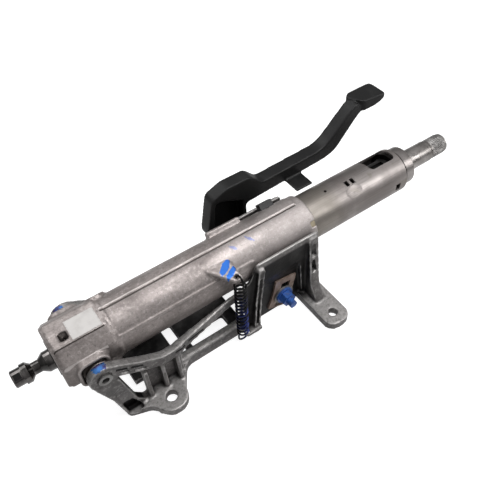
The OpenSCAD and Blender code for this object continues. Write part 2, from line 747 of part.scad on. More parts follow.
// Guide that keeps the tube from turning and stops its travel at both ends
module reach_guide() color("#1d1d1e") {
    on_axis(guide_x, guide_lean) {
        translate([0, 0, tube_ri + 0.4]) cylinder(r = guide_tip_r, h = jacket_r - tube_ri);
        translate([0, 0, bore_r + 0.2]) cylinder(r = guide_tip_r + 1, h = 3);
        difference() {
            translate([-7, -4, band_r - 1]) cube([14, 8, 7]);
            rotate([0, 90, 0]) cylinder(r = band_r, h = 30, center = true);
        }
    }
}

// Blank label on the flat top of the end block
module blank_label() color("#e8e6e2")
    translate([jacket_x0 + 19, -13, axis_h + block_w / 2]) cube([25, 20, 0.3]);

// Clamp, drawn from the nut on the near side to the bolt's head beyond the lever

module clamp_bolt() color("#4f6ab0") {
    cross_pin(bolt_r, clamp_x, clamp_z, -nut_out - bolt_tip, head_in);
    translate([clamp_x - 6.5, head_in, clamp_z - 6.5]) cube([13, head_t, 13]);
}

module clamp_nut() color("#2f57b5") mirror([0, 1, 0])
    difference() {
        union() {
            cross_pin(9, clamp_x, clamp_z, nut_in, nut_in + nut_flange_t);
            translate([clamp_x, nut_in + nut_flange_t, clamp_z]) rotate([-90, 0, 0])
                cylinder(d = 15, h = nut_h, $fn = 6);
        }
        cross_pin(bolt_r, clamp_x, clamp_z, 0, nut_out + over);
    }

module nut_washer() color("#77777a") mirror([0, 1, 0])
    difference() {
        cross_pin(11, clamp_x, clamp_z, washer_in, nut_in);
        cross_pin(bolt_r, clamp_x, clamp_z, 0, nut_in + over);
    }

// Block that fills a tilt slot and carries the bolt, from the jacket's ear out to a distance y1
module slot_block(y1)
    pivot_arc(clamp_arm - slider_w / 2, clamp_arm + slider_w / 2, clamp_ang - slider_ang / 2,
        clamp_ang + slider_ang / 2, ear_out, y1);

module slot_slider() color("#2a2a2b") mirror([0, 1, 0])
    difference() {
        slot_block(washer_in);
        cross_pin(bolt_r, clamp_x, clamp_z, 0, axis_h);
    }

// Lobes of a cam, from one height to another
module cam_lobes(y0, y1)
    intersection() {
        cross_pin(cam_r, clamp_x, clamp_z, y0, y1);
        for (a = [0 : 120 : 240])
            translate([clamp_x, y0, clamp_z]) rotate([-90, 0, 0]) rotate([0, 0, a - 20])
                rotate_extrude(angle = 40) translate([bolt_r + 2, 0]) square([cam_r, y1 - y0]);
    }

module fixed_cam() color("#8d8d90")
    difference() {
        union() {
            slot_block(washer_in + over);
            cross_pin(cam_r, clamp_x, clamp_z, washer_in, washer_in + cam_t);
            cam_lobes(washer_in + cam_t - over, cam_mid);
        }
        cross_pin(bolt_r, clamp_x, clamp_z, 0, axis_h);
    }

module moving_cam() color("#7c7c80")
    difference() {
        union() {
            cross_pin(cam_r, clamp_x, clamp_z, lever_in - cam_t, lever_in);
            cam_lobes(cam_mid + face_gap, lever_in - cam_t + over);
        }
        cross_pin(bolt_r + run_gap, clamp_x, clamp_z, 0, axis_h);
    }

module lever_washer() color("#77777a")
    difference() {
        cross_pin(11, clamp_x, clamp_z, lever_out + face_gap, head_in);
        cross_pin(bolt_r, clamp_x, clamp_z, 0, axis_h * 2);
    }

// Column tube with its lock window, guide slot and punched holes
module column_tube() color("#a59c97") difference() {
    ring(tube_ri, tube_r, tube_x0, tube_x1);
    // Lock window, open towards the top and the far side
    on_axis(0, window_lean) linear_extrude(tube_r + over) polygon(rounded([
        [window_x0, -window_w / 2, 4], [window_x1, -window_w / 2, 4],
        [window_x1, window_w / 2, 4], [window_x0, window_w / 2, 4]]));
    // Slot for the reach guide
    on_axis(guide_x, guide_lean) linear_extrude(tube_r + over)
        square([2 * guide_slot, 2 * (guide_tip_r + face_gap)], center = true);
    // Punched holes along the top and the near side
    on_axis(tube_x1 - 92.5, -3) cylinder(d = 3, h = tube_r + over);
    for (x = [-68.5, -61.5])
        on_axis(tube_x1 + x, -13) translate([-2, -3, 0]) cube([4, 6, tube_r + over]);
    on_axis(tube_x1 - 12, -91) translate([-3, -4, 0]) cube([6, 8, tube_r + over]);
    // Pressed dimple on the near side
    on_axis(tube_x1 - 66, -38) translate([0, 0, tube_r + dimple_r - dimple_deep]) sphere(r = dimple_r);
}

// Turned carrier that holds the upper bearing in the tube's end
module bearing_carrier() color("#a8a09c") difference() {
    turned([[upper_seat_r - 2.5, tube_x1 - carrier_plug], [tube_ri, tube_x1 - carrier_plug], [tube_ri, tube_x1],
        [collar_r, tube_x1], [collar_r, collar_x1 - 1], [collar_r - 1, collar_x1],
        [upper_seat_r, collar_x1], [upper_seat_r, upper_bearing_x], [upper_seat_r - 2.5, upper_bearing_x]]);
    ring(upper_seat_r - over, upper_seat_r + 0.8, upper_bearing_x + bearing_w,
        upper_bearing_x + bearing_w + clip_t);
    on_axis(tube_x1, -54) translate([0, -2, 0]) cube([3, 4, collar_r + over]);
}

module upper_bearing_outer_ring() color("#9a9a9c")
    bearing_ring(upper_seat_r - ring_t, upper_seat_r, upper_pitch_r, upper_bearing_x);

module upper_bearing_balls() color("#c8c8ca")
    balls(upper_pitch_r, upper_bearing_x, upper_balls);

module upper_bearing_clip() color("#4a4a4c")
    clip(upper_seat_r - 2, upper_seat_r + 0.8, upper_bearing_x + bearing_w);

module upper_bearing_inner_ring() color("#9a9a9c")
    bearing_ring(shaft_r, shaft_r + ring_t, upper_pitch_r, upper_bearing_x);

module upper_shaft_clip() color("#4a4a4c")
    clip(shaft_r - 1, shaft_r + 1.8, upper_bearing_x + bearing_w);

// Keys along the sliding shaft, or the grooves for them with a clearance
module keys(x0, x1, gap)
    for (a = [0 : 90 : 270])
        on_axis(x0, a) translate([0, -key_w / 2 - gap, 0])
            cube([x1 - x0, key_w + 2 * gap, slider_shaft_r + key_h + gap]);

// Hollow upper shaft with the splined seat and the thread for the steering wheel
module upper_shaft() color("#b9b4b1") difference() {
    turned([[0, shaft_x0], [shaft_r, shaft_x0], [shaft_r, spline_x], [spline_d / 2 - 0.6, spline_x],
        [spline_d / 2 - 0.6, spline_x + groove_w], [spline_d / 2, spline_x + groove_w],
        [spline_d / 2, shaft_x1 - 0.8], [spline_d / 2 - 0.8, shaft_x1], [0, shaft_x1]]);
    bore_end = slider_shaft_x1 + reach + 6;
    ring(0, slider_shaft_r + run_gap, shaft_x0 - over, bore_end);
    keys(shaft_x0 - over, bore_end, 0.25);
    ring(0, wheel_thread_d / 2, shaft_x1 - wheel_thread_len, shaft_x1 + over);
    ring(shaft_r - 1, shaft_r + over, upper_bearing_x + bearing_w, upper_bearing_x + bearing_w + clip_t);
}

// Notched sleeve under the lock window that the lock bolt drops into
module lock_sleeve() color("#6d6a69") {
    notch = 7;
    difference() {
        ring(shaft_r, sleeve_r, window_x0 + 1, sleeve_x1);
        for (a = [0 : 45 : 315])
            on_axis(window_x0 + 6, a) translate([0, -notch / 2, shaft_r + 2])
                cube([sleeve_x1 - window_x0 - 11, notch, 6]);
    }
}

// Solid lower shaft with the stub for the joint below
module lower_shaft() color("#57524f") {
    tip = jacket_x0 - stub_out;
    collar_w = 4.5;
    waist_x = tip + stub_len + collar_w;
    hub_x = jacket_x0 - 6;
    collar = stub_collar_d / 2;
    waist = waist_d / 2;
    difference() {
        union() {
            turned([[0, tip], [stub_d / 2 - 0.6, tip], [stub_d / 2, tip + 0.6], [stub_d / 2, tip + stub_len],
                [collar, tip + stub_len], [collar, waist_x], [waist, waist_x + 3.5], [waist, hub_x - 5],
                [collar - 1, hub_x - 1.5], [collar, hub_x], [collar, jacket_x0 - 2], [journal_r, jacket_x0 - 2],
                [journal_r, lower_shoulder_x + 4], [slider_shaft_r, lower_shoulder_x + 5],
                [slider_shaft_r, slider_shaft_x1], [0, slider_shaft_x1]]);
            keys(shaft_x0 - reach - 8, slider_shaft_x1, 0);
        }
        ring(journal_r - 1, journal_r + over, lower_shoulder_x, lower_shoulder_x + clip_t);
        // Shallow flat-bottomed pocket in the stub
        on_axis(tip + 1.5, -30) translate([0, -2.5, stub_d / 2 - 1.8]) cube([5.5, 5, 4]);
    }
}

module lower_shaft_clip() color("#4a4a4c")
    clip(journal_r - 1, journal_r + 1.8, lower_shoulder_x);

// Plastic lever: hollow base on the clamp bolt, arm along the column and a thumb pad
module clamp_lever() color("#1c1c1e") {
    arm_z0 = axis_h + arm_rise;
    arm_z1 = arm_z0 + arm_h;
    base_top = arm_z1 + 14;
    left = clamp_x - 29;
    right = clamp_x + 9;
    pad_x1 = clamp_x + lever_len;
    pad_x0 = pad_x1 - 35;
    pad_z = axis_h + pad_rise;
    pad_t = 12.5;
    pad_y = (lever_in + lever_out) / 2;
    arm_x = pad_x1 - 40;
    bend = arm_x - 34;
    difference() {
        union() {
            side_solid([[left, base_top - 7, 8], [left + 18, base_top, 20], [right + 6, base_top, 10],
                [right + 20, arm_z1, 10], [bend, arm_z1 + 3, 30], [arm_x, pad_z - 6, 10], [arm_x + 7, pad_z - 2],
                [arm_x + 15, pad_z - pad_t + 1], [arm_x + 6, pad_z - 20, 12], [bend + 16, arm_z0 + 10, 20],
                [bend + 2, arm_z0 + 6, 20], [right, arm_z0, 4], [clamp_x + lever_hub_r, clamp_z + 4, 6],
                [clamp_x + lever_hub_r - 3, clamp_z - lever_hub_r, 11],
                [clamp_x - lever_hub_r + 3, clamp_z - lever_hub_r, 11], [left - 8, axis_h - 10, 12]],
                lever_in, lever_out);
            // Thumb pad, a wedge that thins towards its tip
            intersection() {
                side_solid([[pad_x0 - 4, pad_z - 8, 3], [pad_x0 + 1, pad_z - 0.5, 4], [pad_x1 - 1, pad_z + 0.5, 2],
                    [pad_x1 + 2, pad_z - 3, 1.5], [pad_x1 - 10, pad_z - 10, 12], [pad_x0 + 11, pad_z - pad_t, 8],
                    [pad_x0 - 4, pad_z - pad_t, 4]], pad_y - pad_w / 2, pad_y + pad_w / 2);
                plan_solid([[pad_x0 + 8, pad_y - pad_w / 2 + 3.5, 9], [pad_x1 - 1, pad_y - pad_w / 2, 3],
                    [pad_x1 + 2, pad_y + 1, 12], [pad_x1 - 2, pad_y + pad_w / 2, 7],
                    [pad_x0 + 5, pad_y + pad_w / 2, 7], [pad_x0 - 2, pad_y + 8, 5]], axis_h, 2 * pad_z);
            }
            // Stop tab under the arm
            translate([clamp_x + 57, lever_in - 19, arm_z0 + 2]) cube([20, 20, 2.5]);
        }
        // Hollow of the base, open towards the jacket
        side_solid([[left + lever_wall, base_top - 8 - lever_wall, 4], [left + 17, base_top - 16, 14],
            [right - lever_wall, arm_z0 + 6, 3], [right - lever_wall, clamp_z + lever_hub_r + 4, 3],
            [clamp_x - 18, clamp_z + lever_hub_r + 4, 5], [left - 4 + lever_wall, axis_h - 10, 8]],
            lever_in - over, lever_out - lever_wall);
        cross_pin(bolt_r + run_gap, clamp_x, clamp_z, 0, axis_h * 2);
    }
}

mounting_bracket();
pivot_screws();
friction_plates();
tilt_spring();
column_jacket();
pivot_bushes();
upper_slide_bush();
lower_slide_bush();
lower_bearing_outer_ring();
lower_bearing_balls();
lower_bearing_clip();
lower_seal();
reach_guide();
blank_label();
clamp_bolt();
clamp_nut();
nut_washer();
slot_slider();
fixed_cam();
lever_washer();
column_tube();
bearing_carrier();
upper_bearing_outer_ring();
upper_bearing_balls();
upper_bearing_clip();
upper_shaft();
upper_bearing_inner_ring();
upper_shaft_clip();
lock_sleeve();
lower_shaft();
lower_bearing_inner_ring();
lower_shaft_clip();
clamp_lever();
moving_cam();
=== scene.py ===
import bmesh
import bpy
import numpy as np
from mathutils import Matrix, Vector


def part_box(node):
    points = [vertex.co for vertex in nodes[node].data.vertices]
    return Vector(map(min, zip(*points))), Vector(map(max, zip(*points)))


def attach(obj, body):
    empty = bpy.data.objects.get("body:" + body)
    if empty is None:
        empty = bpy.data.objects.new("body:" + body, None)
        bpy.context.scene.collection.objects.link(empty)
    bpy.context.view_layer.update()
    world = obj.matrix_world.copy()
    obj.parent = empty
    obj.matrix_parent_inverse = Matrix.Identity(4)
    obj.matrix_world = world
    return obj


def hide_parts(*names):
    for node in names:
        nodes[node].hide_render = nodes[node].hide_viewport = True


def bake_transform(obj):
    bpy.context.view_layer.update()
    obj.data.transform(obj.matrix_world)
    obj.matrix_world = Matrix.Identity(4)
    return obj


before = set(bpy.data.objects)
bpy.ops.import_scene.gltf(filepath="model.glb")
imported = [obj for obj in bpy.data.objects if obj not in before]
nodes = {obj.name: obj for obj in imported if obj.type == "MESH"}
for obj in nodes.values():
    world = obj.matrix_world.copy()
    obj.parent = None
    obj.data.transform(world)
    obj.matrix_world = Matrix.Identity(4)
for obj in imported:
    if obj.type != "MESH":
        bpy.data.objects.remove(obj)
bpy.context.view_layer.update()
scene = bpy.context.scene
scene.view_settings.view_transform = "Standard"

# Studio: a pale table, a soft room and three lamps: a wide one overhead, one at the wheel end and one behind.
# The camera stands where the photograph was taken, above the lower end of the column on the near side.
CAMERA_PLACE = (-0.24406, -0.29056, 0.47830)
CAMERA_AIM = (-0.05083, -0.00175, 0.07600)
CAMERA_ROLL = -2.333
FOCAL_PIXELS = 573.0
IMAGE_PIXELS = 500.0
SENSOR_MM = 36.0
CLIP_START = 0.01
UPRIGHT = (0.0, 0.0, 1.0)
CROSSWISE = (0.0, 1.0, 0.0)


def aimed(place, aim, above, roll=0.0):
    """The matrix of a camera or lamp at a place that looks at the aim. Its side is square to the line of
    sight and to a direction above it, and is then turned about that line by the roll in degrees."""
    place = np.array(place)
    back = place - np.array(aim)
    back /= np.linalg.norm(back)
    side = np.cross(above, back)
    side /= np.linalg.norm(side)
    side = np.cos(np.radians(roll)) * side + np.sin(np.radians(roll)) * np.cross(back, side)
    rows = np.stack([side, np.cross(back, side), back, place], axis=1)
    return Matrix([*rows.tolist(), [0.0, 0.0, 0.0, 1.0]])


camera_data = bpy.data.cameras.new("camera")
camera_data.sensor_width = SENSOR_MM
camera_data.lens = SENSOR_MM * FOCAL_PIXELS / IMAGE_PIXELS
camera_data.clip_start = CLIP_START
camera = bpy.data.objects.new("camera", camera_data)
camera.matrix_world = aimed(CAMERA_PLACE, CAMERA_AIM, UPRIGHT, CAMERA_ROLL)
scene.collection.objects.link(camera)
scene.camera = camera


def add_lamp(name, place, aim, width, depth, watts):
    """A rectangular lamp at a place that shines at the aim, with its width along the column."""
    data = bpy.data.lights.new(name, "AREA")
    data.shape = "RECTANGLE"
    data.energy = watts
    data.size, data.size_y = width, depth
    lamp = bpy.data.objects.new(name, data)
    lamp.matrix_world = aimed(place, aim, CROSSWISE)
    scene.collection.objects.link(lamp)


MIDDLE = (-0.04, 0.0, 0.07)
WHEEL_END = (0.08, 0.0, 0.08)
add_lamp("top_lamp", (0.09, -0.14, 0.76), MIDDLE, width=0.42, depth=0.36, watts=3.6)
add_lamp("side_lamp", (0.46, -0.43, 0.45), WHEEL_END, width=0.30, depth=0.30, watts=1.7)
add_lamp("back_lamp", (-0.30, 0.55, 0.78), MIDDLE, width=0.60, depth=0.50, watts=2.9)


def set_sockets(tree, node, sockets):
    """Sets each socket of a node, by name or number, or links it where it is given another node's socket."""
    for key, value in sockets.items():
        if isinstance(value, bpy.types.NodeSocket):
            tree.links.new(value, node.inputs[key])
        else:
            node.inputs[key].default_value = value


def add_node(tree, kind, sockets, **settings):
    """A shader node of a kind with its settings made and its sockets set or linked."""
    node = tree.nodes.new(kind)
    for key, value in settings.items():
        setattr(node, key, value)
    set_sockets(tree, node, sockets)
    return node


def maths(tree, operation, *values):
    """The result of one operation on up to three values."""
    return add_node(tree, "ShaderNodeMath", dict(enumerate(values)), operation=operation).outputs[0]


def axes_of(tree, vector):
    """The three values of a vector: along the column, across it and up."""
    return add_node(tree, "ShaderNodeSeparateXYZ", {0: vector}).outputs


WHITE = (1.0, 1.0, 1.0, 1.0)
ROOM_SIDES, ROOM_TOP = 0.17, 0.50
ROOM_TOP_FROM = 0.9
world = bpy.data.worlds.new("room")
world.use_nodes = True
tree = world.node_tree
height = axes_of(tree, add_node(tree, "ShaderNodeTexCoord", {}).outputs["Generated"])[2]
room = add_node(tree, "ShaderNodeMapRange", {0: height, 1: 0.0, 2: ROOM_TOP_FROM, 3: ROOM_SIDES, 4: ROOM_TOP})
rays = add_node(tree, "ShaderNodeLightPath", {}).outputs
glow = maths(tree, "MAXIMUM", room.outputs[0], rays["Is Camera Ray"])
set_sockets(tree, tree.nodes["Background"], {"Color": WHITE, "Strength": glow})
scene.world = world

FLOOR_HALF = 3.0
FLOOR_SIGNS = ((-1, -1), (1, -1), (1, 1), (-1, 1))
FLOOR_GREY = (0.44, 0.44, 0.44, 1.0)
FLOOR_ROUGHNESS, FLOOR_SPECULAR = 0.9, 0.1
CAMERA_GLOW, MIRRORED_GLOW = 0.85, 0.35
floor_mesh = bpy.data.meshes.new("table")
floor_mesh.from_pydata([(FLOOR_HALF * x, FLOOR_HALF * y, 0.0) for x, y in FLOOR_SIGNS], [], [(0, 1, 2, 3)])
floor = bpy.data.objects.new("table", floor_mesh)
scene.collection.objects.link(floor)
table_white = bpy.data.materials.new("table_white")
table_white.use_nodes = True
tree = table_white.node_tree
rays = add_node(tree, "ShaderNodeLightPath", {}).outputs
mirrored = maths(tree, "MAXIMUM", rays["Is Glossy Ray"], rays["Is Transmission Ray"])
dim = maths(tree, "MULTIPLY", mirrored, MIRRORED_GLOW)
glow = maths(tree, "MULTIPLY_ADD", rays["Is Camera Ray"], CAMERA_GLOW, dim)
set_sockets(tree, tree.nodes["Principled BSDF"], {
    "Base Color": FLOOR_GREY, "Roughness": FLOOR_ROUGHNESS, "Specular IOR Level": FLOOR_SPECULAR,
    "Emission Color": WHITE, "Emission Strength": glow})
floor_mesh.materials.append(table_white)

# Mounting bracket: one aluminium die casting with two side frames, cheeks, rails and four feet.
# Its skin is dull and fine-grained, worn bright along the edges, and darkened with painted shade in the
# corners.
# It is bolted to the car by the feet and carries the jacket between its two bosses.
TINY = 1e-6
RELAX_SHARE = 0.5


def shade_smooth(mesh):
    """Shades all faces of a mesh as one smooth surface."""
    mesh.polygons.foreach_set("use_smooth", np.ones(len(mesh.polygons), bool))


def corners(mesh, key):
    """The mesh's points or their normals as an array of rows."""
    values = np.empty(len(mesh.vertices) * 3, np.float32)
    mesh.vertices.foreach_get(key, values)
    return values.reshape(-1, 3)


def put_points(piece, points):
    """Moves each point of a piece to its own row of an array."""
    piece.data.vertices.foreach_set("co", points.astype(np.float32).ravel())
    piece.data.update()


def add_relax(piece, passes):
    """A modifier that moves each point part of the way to the middle of its neighbours, pass after pass."""
    relax = piece.modifiers.new("relax", "SMOOTH")
    relax.factor = RELAX_SHARE
    relax.iterations = passes


def evaluated(piece):
    """The piece with its modifiers worked out."""
    return piece.evaluated_get(bpy.context.evaluated_depsgraph_get())


def mark_relief(piece, name, passes, reach):
    """Stores how far each point stands out of a relaxed copy of the surface, along its normal, in reaches."""
    add_relax(piece, passes)
    flat = corners(evaluated(piece).data, "co")
    piece.modifiers.clear()
    rise = ((corners(piece.data, "co") - flat) * corners(piece.data, "normal")).sum(axis=1) / reach
    relief = piece.data.attributes.new(name, "FLOAT", "POINT")
    relief.data.foreach_set("value", np.clip(rise, -1.0, 1.0).astype(np.float32))


def softened(node, name, cell, passes, edge, hollow):
    """The node's mesh with its corners joined, cut into even cells and relaxed, so that its edges are round.
    It stores two reliefs of its surface, a fine one for edges and a coarse one for hollows, each given as
    a number of passes and a reach."""
    mesh = nodes[node].data.copy()
    mesh.materials.clear()
    work = bmesh.new()
    work.from_mesh(mesh)
    bmesh.ops.remove_doubles(work, verts=work.verts, dist=TINY)
    work.to_mesh(mesh)
    work.free()
    piece = bpy.data.objects.new(name, mesh)
    scene.collection.objects.link(piece)
    cells = piece.modifiers.new("cells", "REMESH")
    cells.mode = "VOXEL"
    cells.voxel_size = cell
    add_relax(piece, passes)
    made = bpy.data.meshes.new_from_object(evaluated(piece))
    piece.modifiers.clear()
    piece.data = made
    made.name = name
    shade_smooth(made)
    mark_relief(piece, "edge", *edge)
    mark_relief(piece, "hollow", *hollow)
    return piece


def hug_node(piece, node, low, high):
    """Puts the points in a box, mirrored to both sides of the column, back onto the node's own surface."""
    points = corners(piece.data, "co")
    points[:, 1] = np.abs(points[:, 1])
    boxed = np.flatnonzero(((points > low) & (points < high)).all(axis=1))
    piece.vertex_groups.new(name="boxed").add(boxed.tolist(), 1.0, "REPLACE")
    hug = piece.modifiers.new("hug", "SHRINKWRAP")
    hug.target = nodes[node]
    hug.vertex_group = "boxed"
    hugged = corners(evaluated(piece).data, "co")
    piece.modifiers.clear()
    piece.vertex_groups.clear()
    put_points(piece, hugged)


CAST_CELL, CAST_PASSES = 0.0011, 3
CAST_EDGE, CAST_HOLLOW = (6, 0.00035), (120, 0.0030)
TILT_SLOTS = ((-0.046, 0.0215, 0.002), (-0.017, 0.0320, 0.042))
bracket = softened("mounting_bracket", "bracket_casting", CAST_CELL, CAST_PASSES, CAST_EDGE, CAST_HOLLOW)
hug_node(bracket, "mounting_bracket", *TILT_SLOTS)

# Grooves in the outer faces of the bracket's chords: each band and span is a middle and half a width.
CHORD_FALL = 0.66
SLOPING_GROOVE = (-0.0637, 0.0016)
SLOPING_SPANS = ((-0.2043, 0.0046), (-0.1918, 0.0050))
LEVEL_GROOVES = (((0.0502, 0.0014), (-0.1522, 0.0052)), ((0.0522, 0.0014), (-0.1342, 0.0085)))
GROOVE_DEPTH = 0.0014
GROOVE_SOFT = 0.0012
CHORD_OUTSIDE = (0.0340, 0.0345)
CHORD_FACING = 0.7


def near(values, middle, half, soft=GROOVE_SOFT):
    """How far values lie within half a width of their middle: from none to whole over a soft edge."""
    return np.clip((half - np.abs(values - middle)) / soft + 0.5, 0.0, 1.0)


def groove_shift(piece):
    """Sinks the chords' faces that look away from the column, in two sloping and two level bands."""
    x, y, z = corners(piece.data, "co").T
    facing = corners(piece.data, "normal")[:, 1] * np.sign(y)
    outward = (facing > CHORD_FACING) & (np.abs(y) > CHORD_OUTSIDE[0])
    sunk = near(z + CHORD_FALL * x, *SLOPING_GROOVE)
    sunk *= np.maximum(*(near(x, *span) for span in SLOPING_SPANS))
    for height, span in LEVEL_GROOVES:
        sunk = np.maximum(sunk, near(z, *height) * near(x, *span))
    return np.outer(-GROOVE_DEPTH * sunk * outward * np.sign(y), CROSSWISE)


put_points(bracket, corners(bracket.data, "co") + groove_shift(bracket))


def new_finish(name, metallic, roughness):
    """An empty material with its tree and shader, and the object's own coordinates to read patterns from."""
    finish = bpy.data.materials.new(name)
    finish.use_nodes = True
    tree = finish.node_tree
    shader = tree.nodes["Principled BSDF"]
    set_sockets(tree, shader, {"Metallic": metallic, "Roughness": roughness})
    place = add_node(tree, "ShaderNodeTexCoord", {}).outputs["Object"]
    return finish, tree, shader, place


def grain(tree, place, scale, detail=3.0, stretch=None, soft=0.5):
    """A noise value over the surface; stretch draws it out or crowds it along the three axes."""
    if stretch:
        place = add_node(tree, "ShaderNodeMapping", {0: place, 3: stretch}).outputs[0]
    sockets = {"Vector": place, "Scale": scale, "Detail": detail, "Roughness": soft}
    return add_node(tree, "ShaderNodeTexNoise", sockets).outputs[0]


def spread(tree, value, low, high, out_low=0.0, out_high=1.0):
    """A value read from one range into another and held at its ends."""
    sockets = {0: value, 1: low, 2: high, 3: out_low, 4: out_high}
    return add_node(tree, "ShaderNodeMapRange", sockets, interpolation_type="SMOOTHSTEP").outputs[0]


def uneven_gloss(tree, place, scale, low, high):
    """A roughness that wanders between two values from patch to patch."""
    return spread(tree, grain(tree, place, scale), 0.3, 0.7, low, high)


def times(tree, one, other):
    """The product of two values."""
    return maths(tree, "MULTIPLY", one, other)


def both(tree, one, other):
    """The larger of two masks."""
    return maths(tree, "MAXIMUM", one, other)


def stripe(tree, value, middle, half):
    """A mask that is whole where a value lies within half a width of its middle."""
    return maths(tree, "COMPARE", value, middle, half)


def patch(tree, one, one_span, other, other_span):
    """A mask that is whole where each of two values lies in its span."""
    return times(tree, stripe(tree, one, *one_span), stripe(tree, other, *other_span))


def within(tree, place, low, high, soft):
    """A mask that is whole in a box, mirrored to both sides of the column, and fades out round it."""
    along, across, up = axes_of(tree, place)
    away = maths(tree, "ABSOLUTE", across)
    mask = 1.0
    for value, least, most, fade in zip((along, away, up), low, high, soft):
        mask = times(tree, mask, spread(tree, value, least - fade, least))
        mask = times(tree, mask, spread(tree, value, most + fade, most))
    return mask


def tint(tree, share, under, over):
    """One colour laid over another by a share; the node's sockets 6 and 7 take the two colours."""
    sockets = {0: share}
    for number, colour in ((6, under), (7, over)):
        sockets[number] = colour if isinstance(colour, bpy.types.NodeSocket) else (*colour, 1.0)
    return add_node(tree, "ShaderNodeMix", sockets, data_type="RGBA").outputs[2]


def darker(colour, share):
    """A colour brought down to a share of itself."""
    return tuple(share * value for value in colour)


def daub(tree, place, middle, half, turn, ragged):
    """A hand-painted dab: the inside of an ellipsoid that is turned about the upright, with its edge made
    ragged by noise."""
    sockets = {0: place, 1: middle, 2: (0.0, 0.0, turn), 3: half}
    local = add_node(tree, "ShaderNodeMapping", sockets, vector_type="TEXTURE").outputs[0]
    far = add_node(tree, "ShaderNodeVectorMath", {0: local}, operation="LENGTH").outputs["Value"]
    edge = spread(tree, grain(tree, place, 420.0), 0.0, 1.0, -ragged, ragged)
    return spread(tree, maths(tree, "ADD", far, edge), 1.06, 0.92)


def dab_pair(tree, place, spots, ragged):
    """Two dabs in one mask; each spot is a middle, half the size along each axis and a turn."""
    return both(tree, *(daub(tree, place, *spot, ragged) for spot in spots))


def relief_of(tree, name):
    """A stored relief of the piece."""
    return add_node(tree, "ShaderNodeAttribute", {}, attribute_name=name).outputs["Fac"]


def bumped(tree, shader, height, strength, depth):
    """Gives the shader's surface a fine unevenness."""
    bump = add_node(tree, "ShaderNodeBump", {"Strength": strength, "Distance": depth, "Height": height})
    tree.links.new(bump.outputs[0], shader.inputs["Normal"])


def cast_skin(name, pale, dull, shade_colour, bright, metallic, wear, painted_top_light, shaded_boxes):
    """Cast aluminium: cloudy pale and dull patches, paler where it faces up as painted top light, painted
    shade in the hollows and in the given boxes, worn bright edges and a sandy grain. Gives back the material,
    its tree, shader and coordinates, and its colour so far."""
    finish, tree, shader, place = new_finish(name, metallic, roughness=0.5)
    clouds = spread(tree, grain(tree, place, 26.0, 4.0), 0.34, 0.66)
    colour = tint(tree, clouds, dull, pale)
    facing = axes_of(tree, add_node(tree, "ShaderNodeNewGeometry", {}).outputs["Normal"])[2]
    # Faces that look up are lightened by a share: painted top light.
    colour = tint(tree, spread(tree, facing, 0.45, 0.95, 0.0, painted_top_light), colour, bright)
    mottle = grain(tree, place, 330.0, 4.0, soft=0.65)
    colour = tint(tree, spread(tree, mottle, 0.50, 0.34, 0.0, 0.36), colour, darker(dull, 0.55))
    colour = tint(tree, spread(tree, mottle, 0.52, 0.70, 0.0, 0.34), colour, bright)
    specks = spread(tree, grain(tree, place, 620.0, 2.0), 0.60, 0.76, 0.0, 0.6)
    colour = tint(tree, specks, colour, darker(dull, 0.5))
    # Painted shade: the hollows and the given boxes are darkened, patchily, and made more metallic so that
    # they come out near black.
    hollow = spread(tree, relief_of(tree, "hollow"), -0.10, -0.85)
    for low, high, soft in shaded_boxes:
        hollow = both(tree, hollow, within(tree, place, low, high, soft))
    blotch = spread(tree, grain(tree, place, 90.0), 0.25, 0.7, 0.9, 1.0)
    painted_shade = times(tree, hollow, blotch)
    colour = tint(tree, painted_shade, colour, shade_colour)
    patchy = spread(tree, grain(tree, place, 140.0), 0.3, 0.62, 0.25, 1.0)
    rub = times(tree, spread(tree, relief_of(tree, "edge"), 0.22, 0.75), patchy)
    colour = tint(tree, times(tree, rub, wear), colour, bright)
    set_sockets(tree, shader, {"Metallic": spread(tree, painted_shade, 0.0, 1.0, metallic, 0.9),
                               "Roughness": uneven_gloss(tree, place, 55.0, 0.40, 0.58)})
    bumped(tree, shader, grain(tree, place, 950.0), strength=0.30, depth=0.0005)
    return finish, tree, shader, place, colour


# Skin of the bracket: a shaded box, darkened with painted shade, is its low corner, its high corner and how
# far it fades along each axis.
BRACKET_PALE = (0.175, 0.165, 0.162)
BRACKET_DULL = (0.105, 0.100, 0.098)
BRACKET_SHADE = (0.010, 0.0095, 0.0095)
BRACKET_BRIGHT = (0.50, 0.485, 0.475)
CLAMP_RECESS = ((-0.078, 0.0, -0.010), (-0.0055, 0.0306, 0.0805), (0.004, 0.013, 0.004))
UNDER_JACKET = ((-0.205, 0.0, -0.010), (-0.066, 0.017, 0.060), (0.004, 0.004, 0.004))
LEG_POCKET = ((-0.216, 0.0, 0.002), (-0.196, 0.0385, 0.022), (0.002, 0.002, 0.002))
GROOVE_SHADE = 0.92
BOSS_DABS = (((-0.2200, -0.0352, 0.0850), (0.0072, 0.0046, 0.0030), 0.0),
             ((-0.2245, 0.0350, 0.0838), (0.0060, 0.0044, 0.0030), 0.0))
PAINT_BLUE = (0.020, 0.135, 0.40)
PAINT_VIOLET = (0.045, 0.030, 0.135)
bracket_skin, tree, shader, place, colour = cast_skin(
    "bracket_skin", BRACKET_PALE, BRACKET_DULL, BRACKET_SHADE, BRACKET_BRIGHT,
    metallic=0.75, wear=0.85, painted_top_light=0.42, shaded_boxes=(CLAMP_RECESS, UNDER_JACKET, LEG_POCKET))
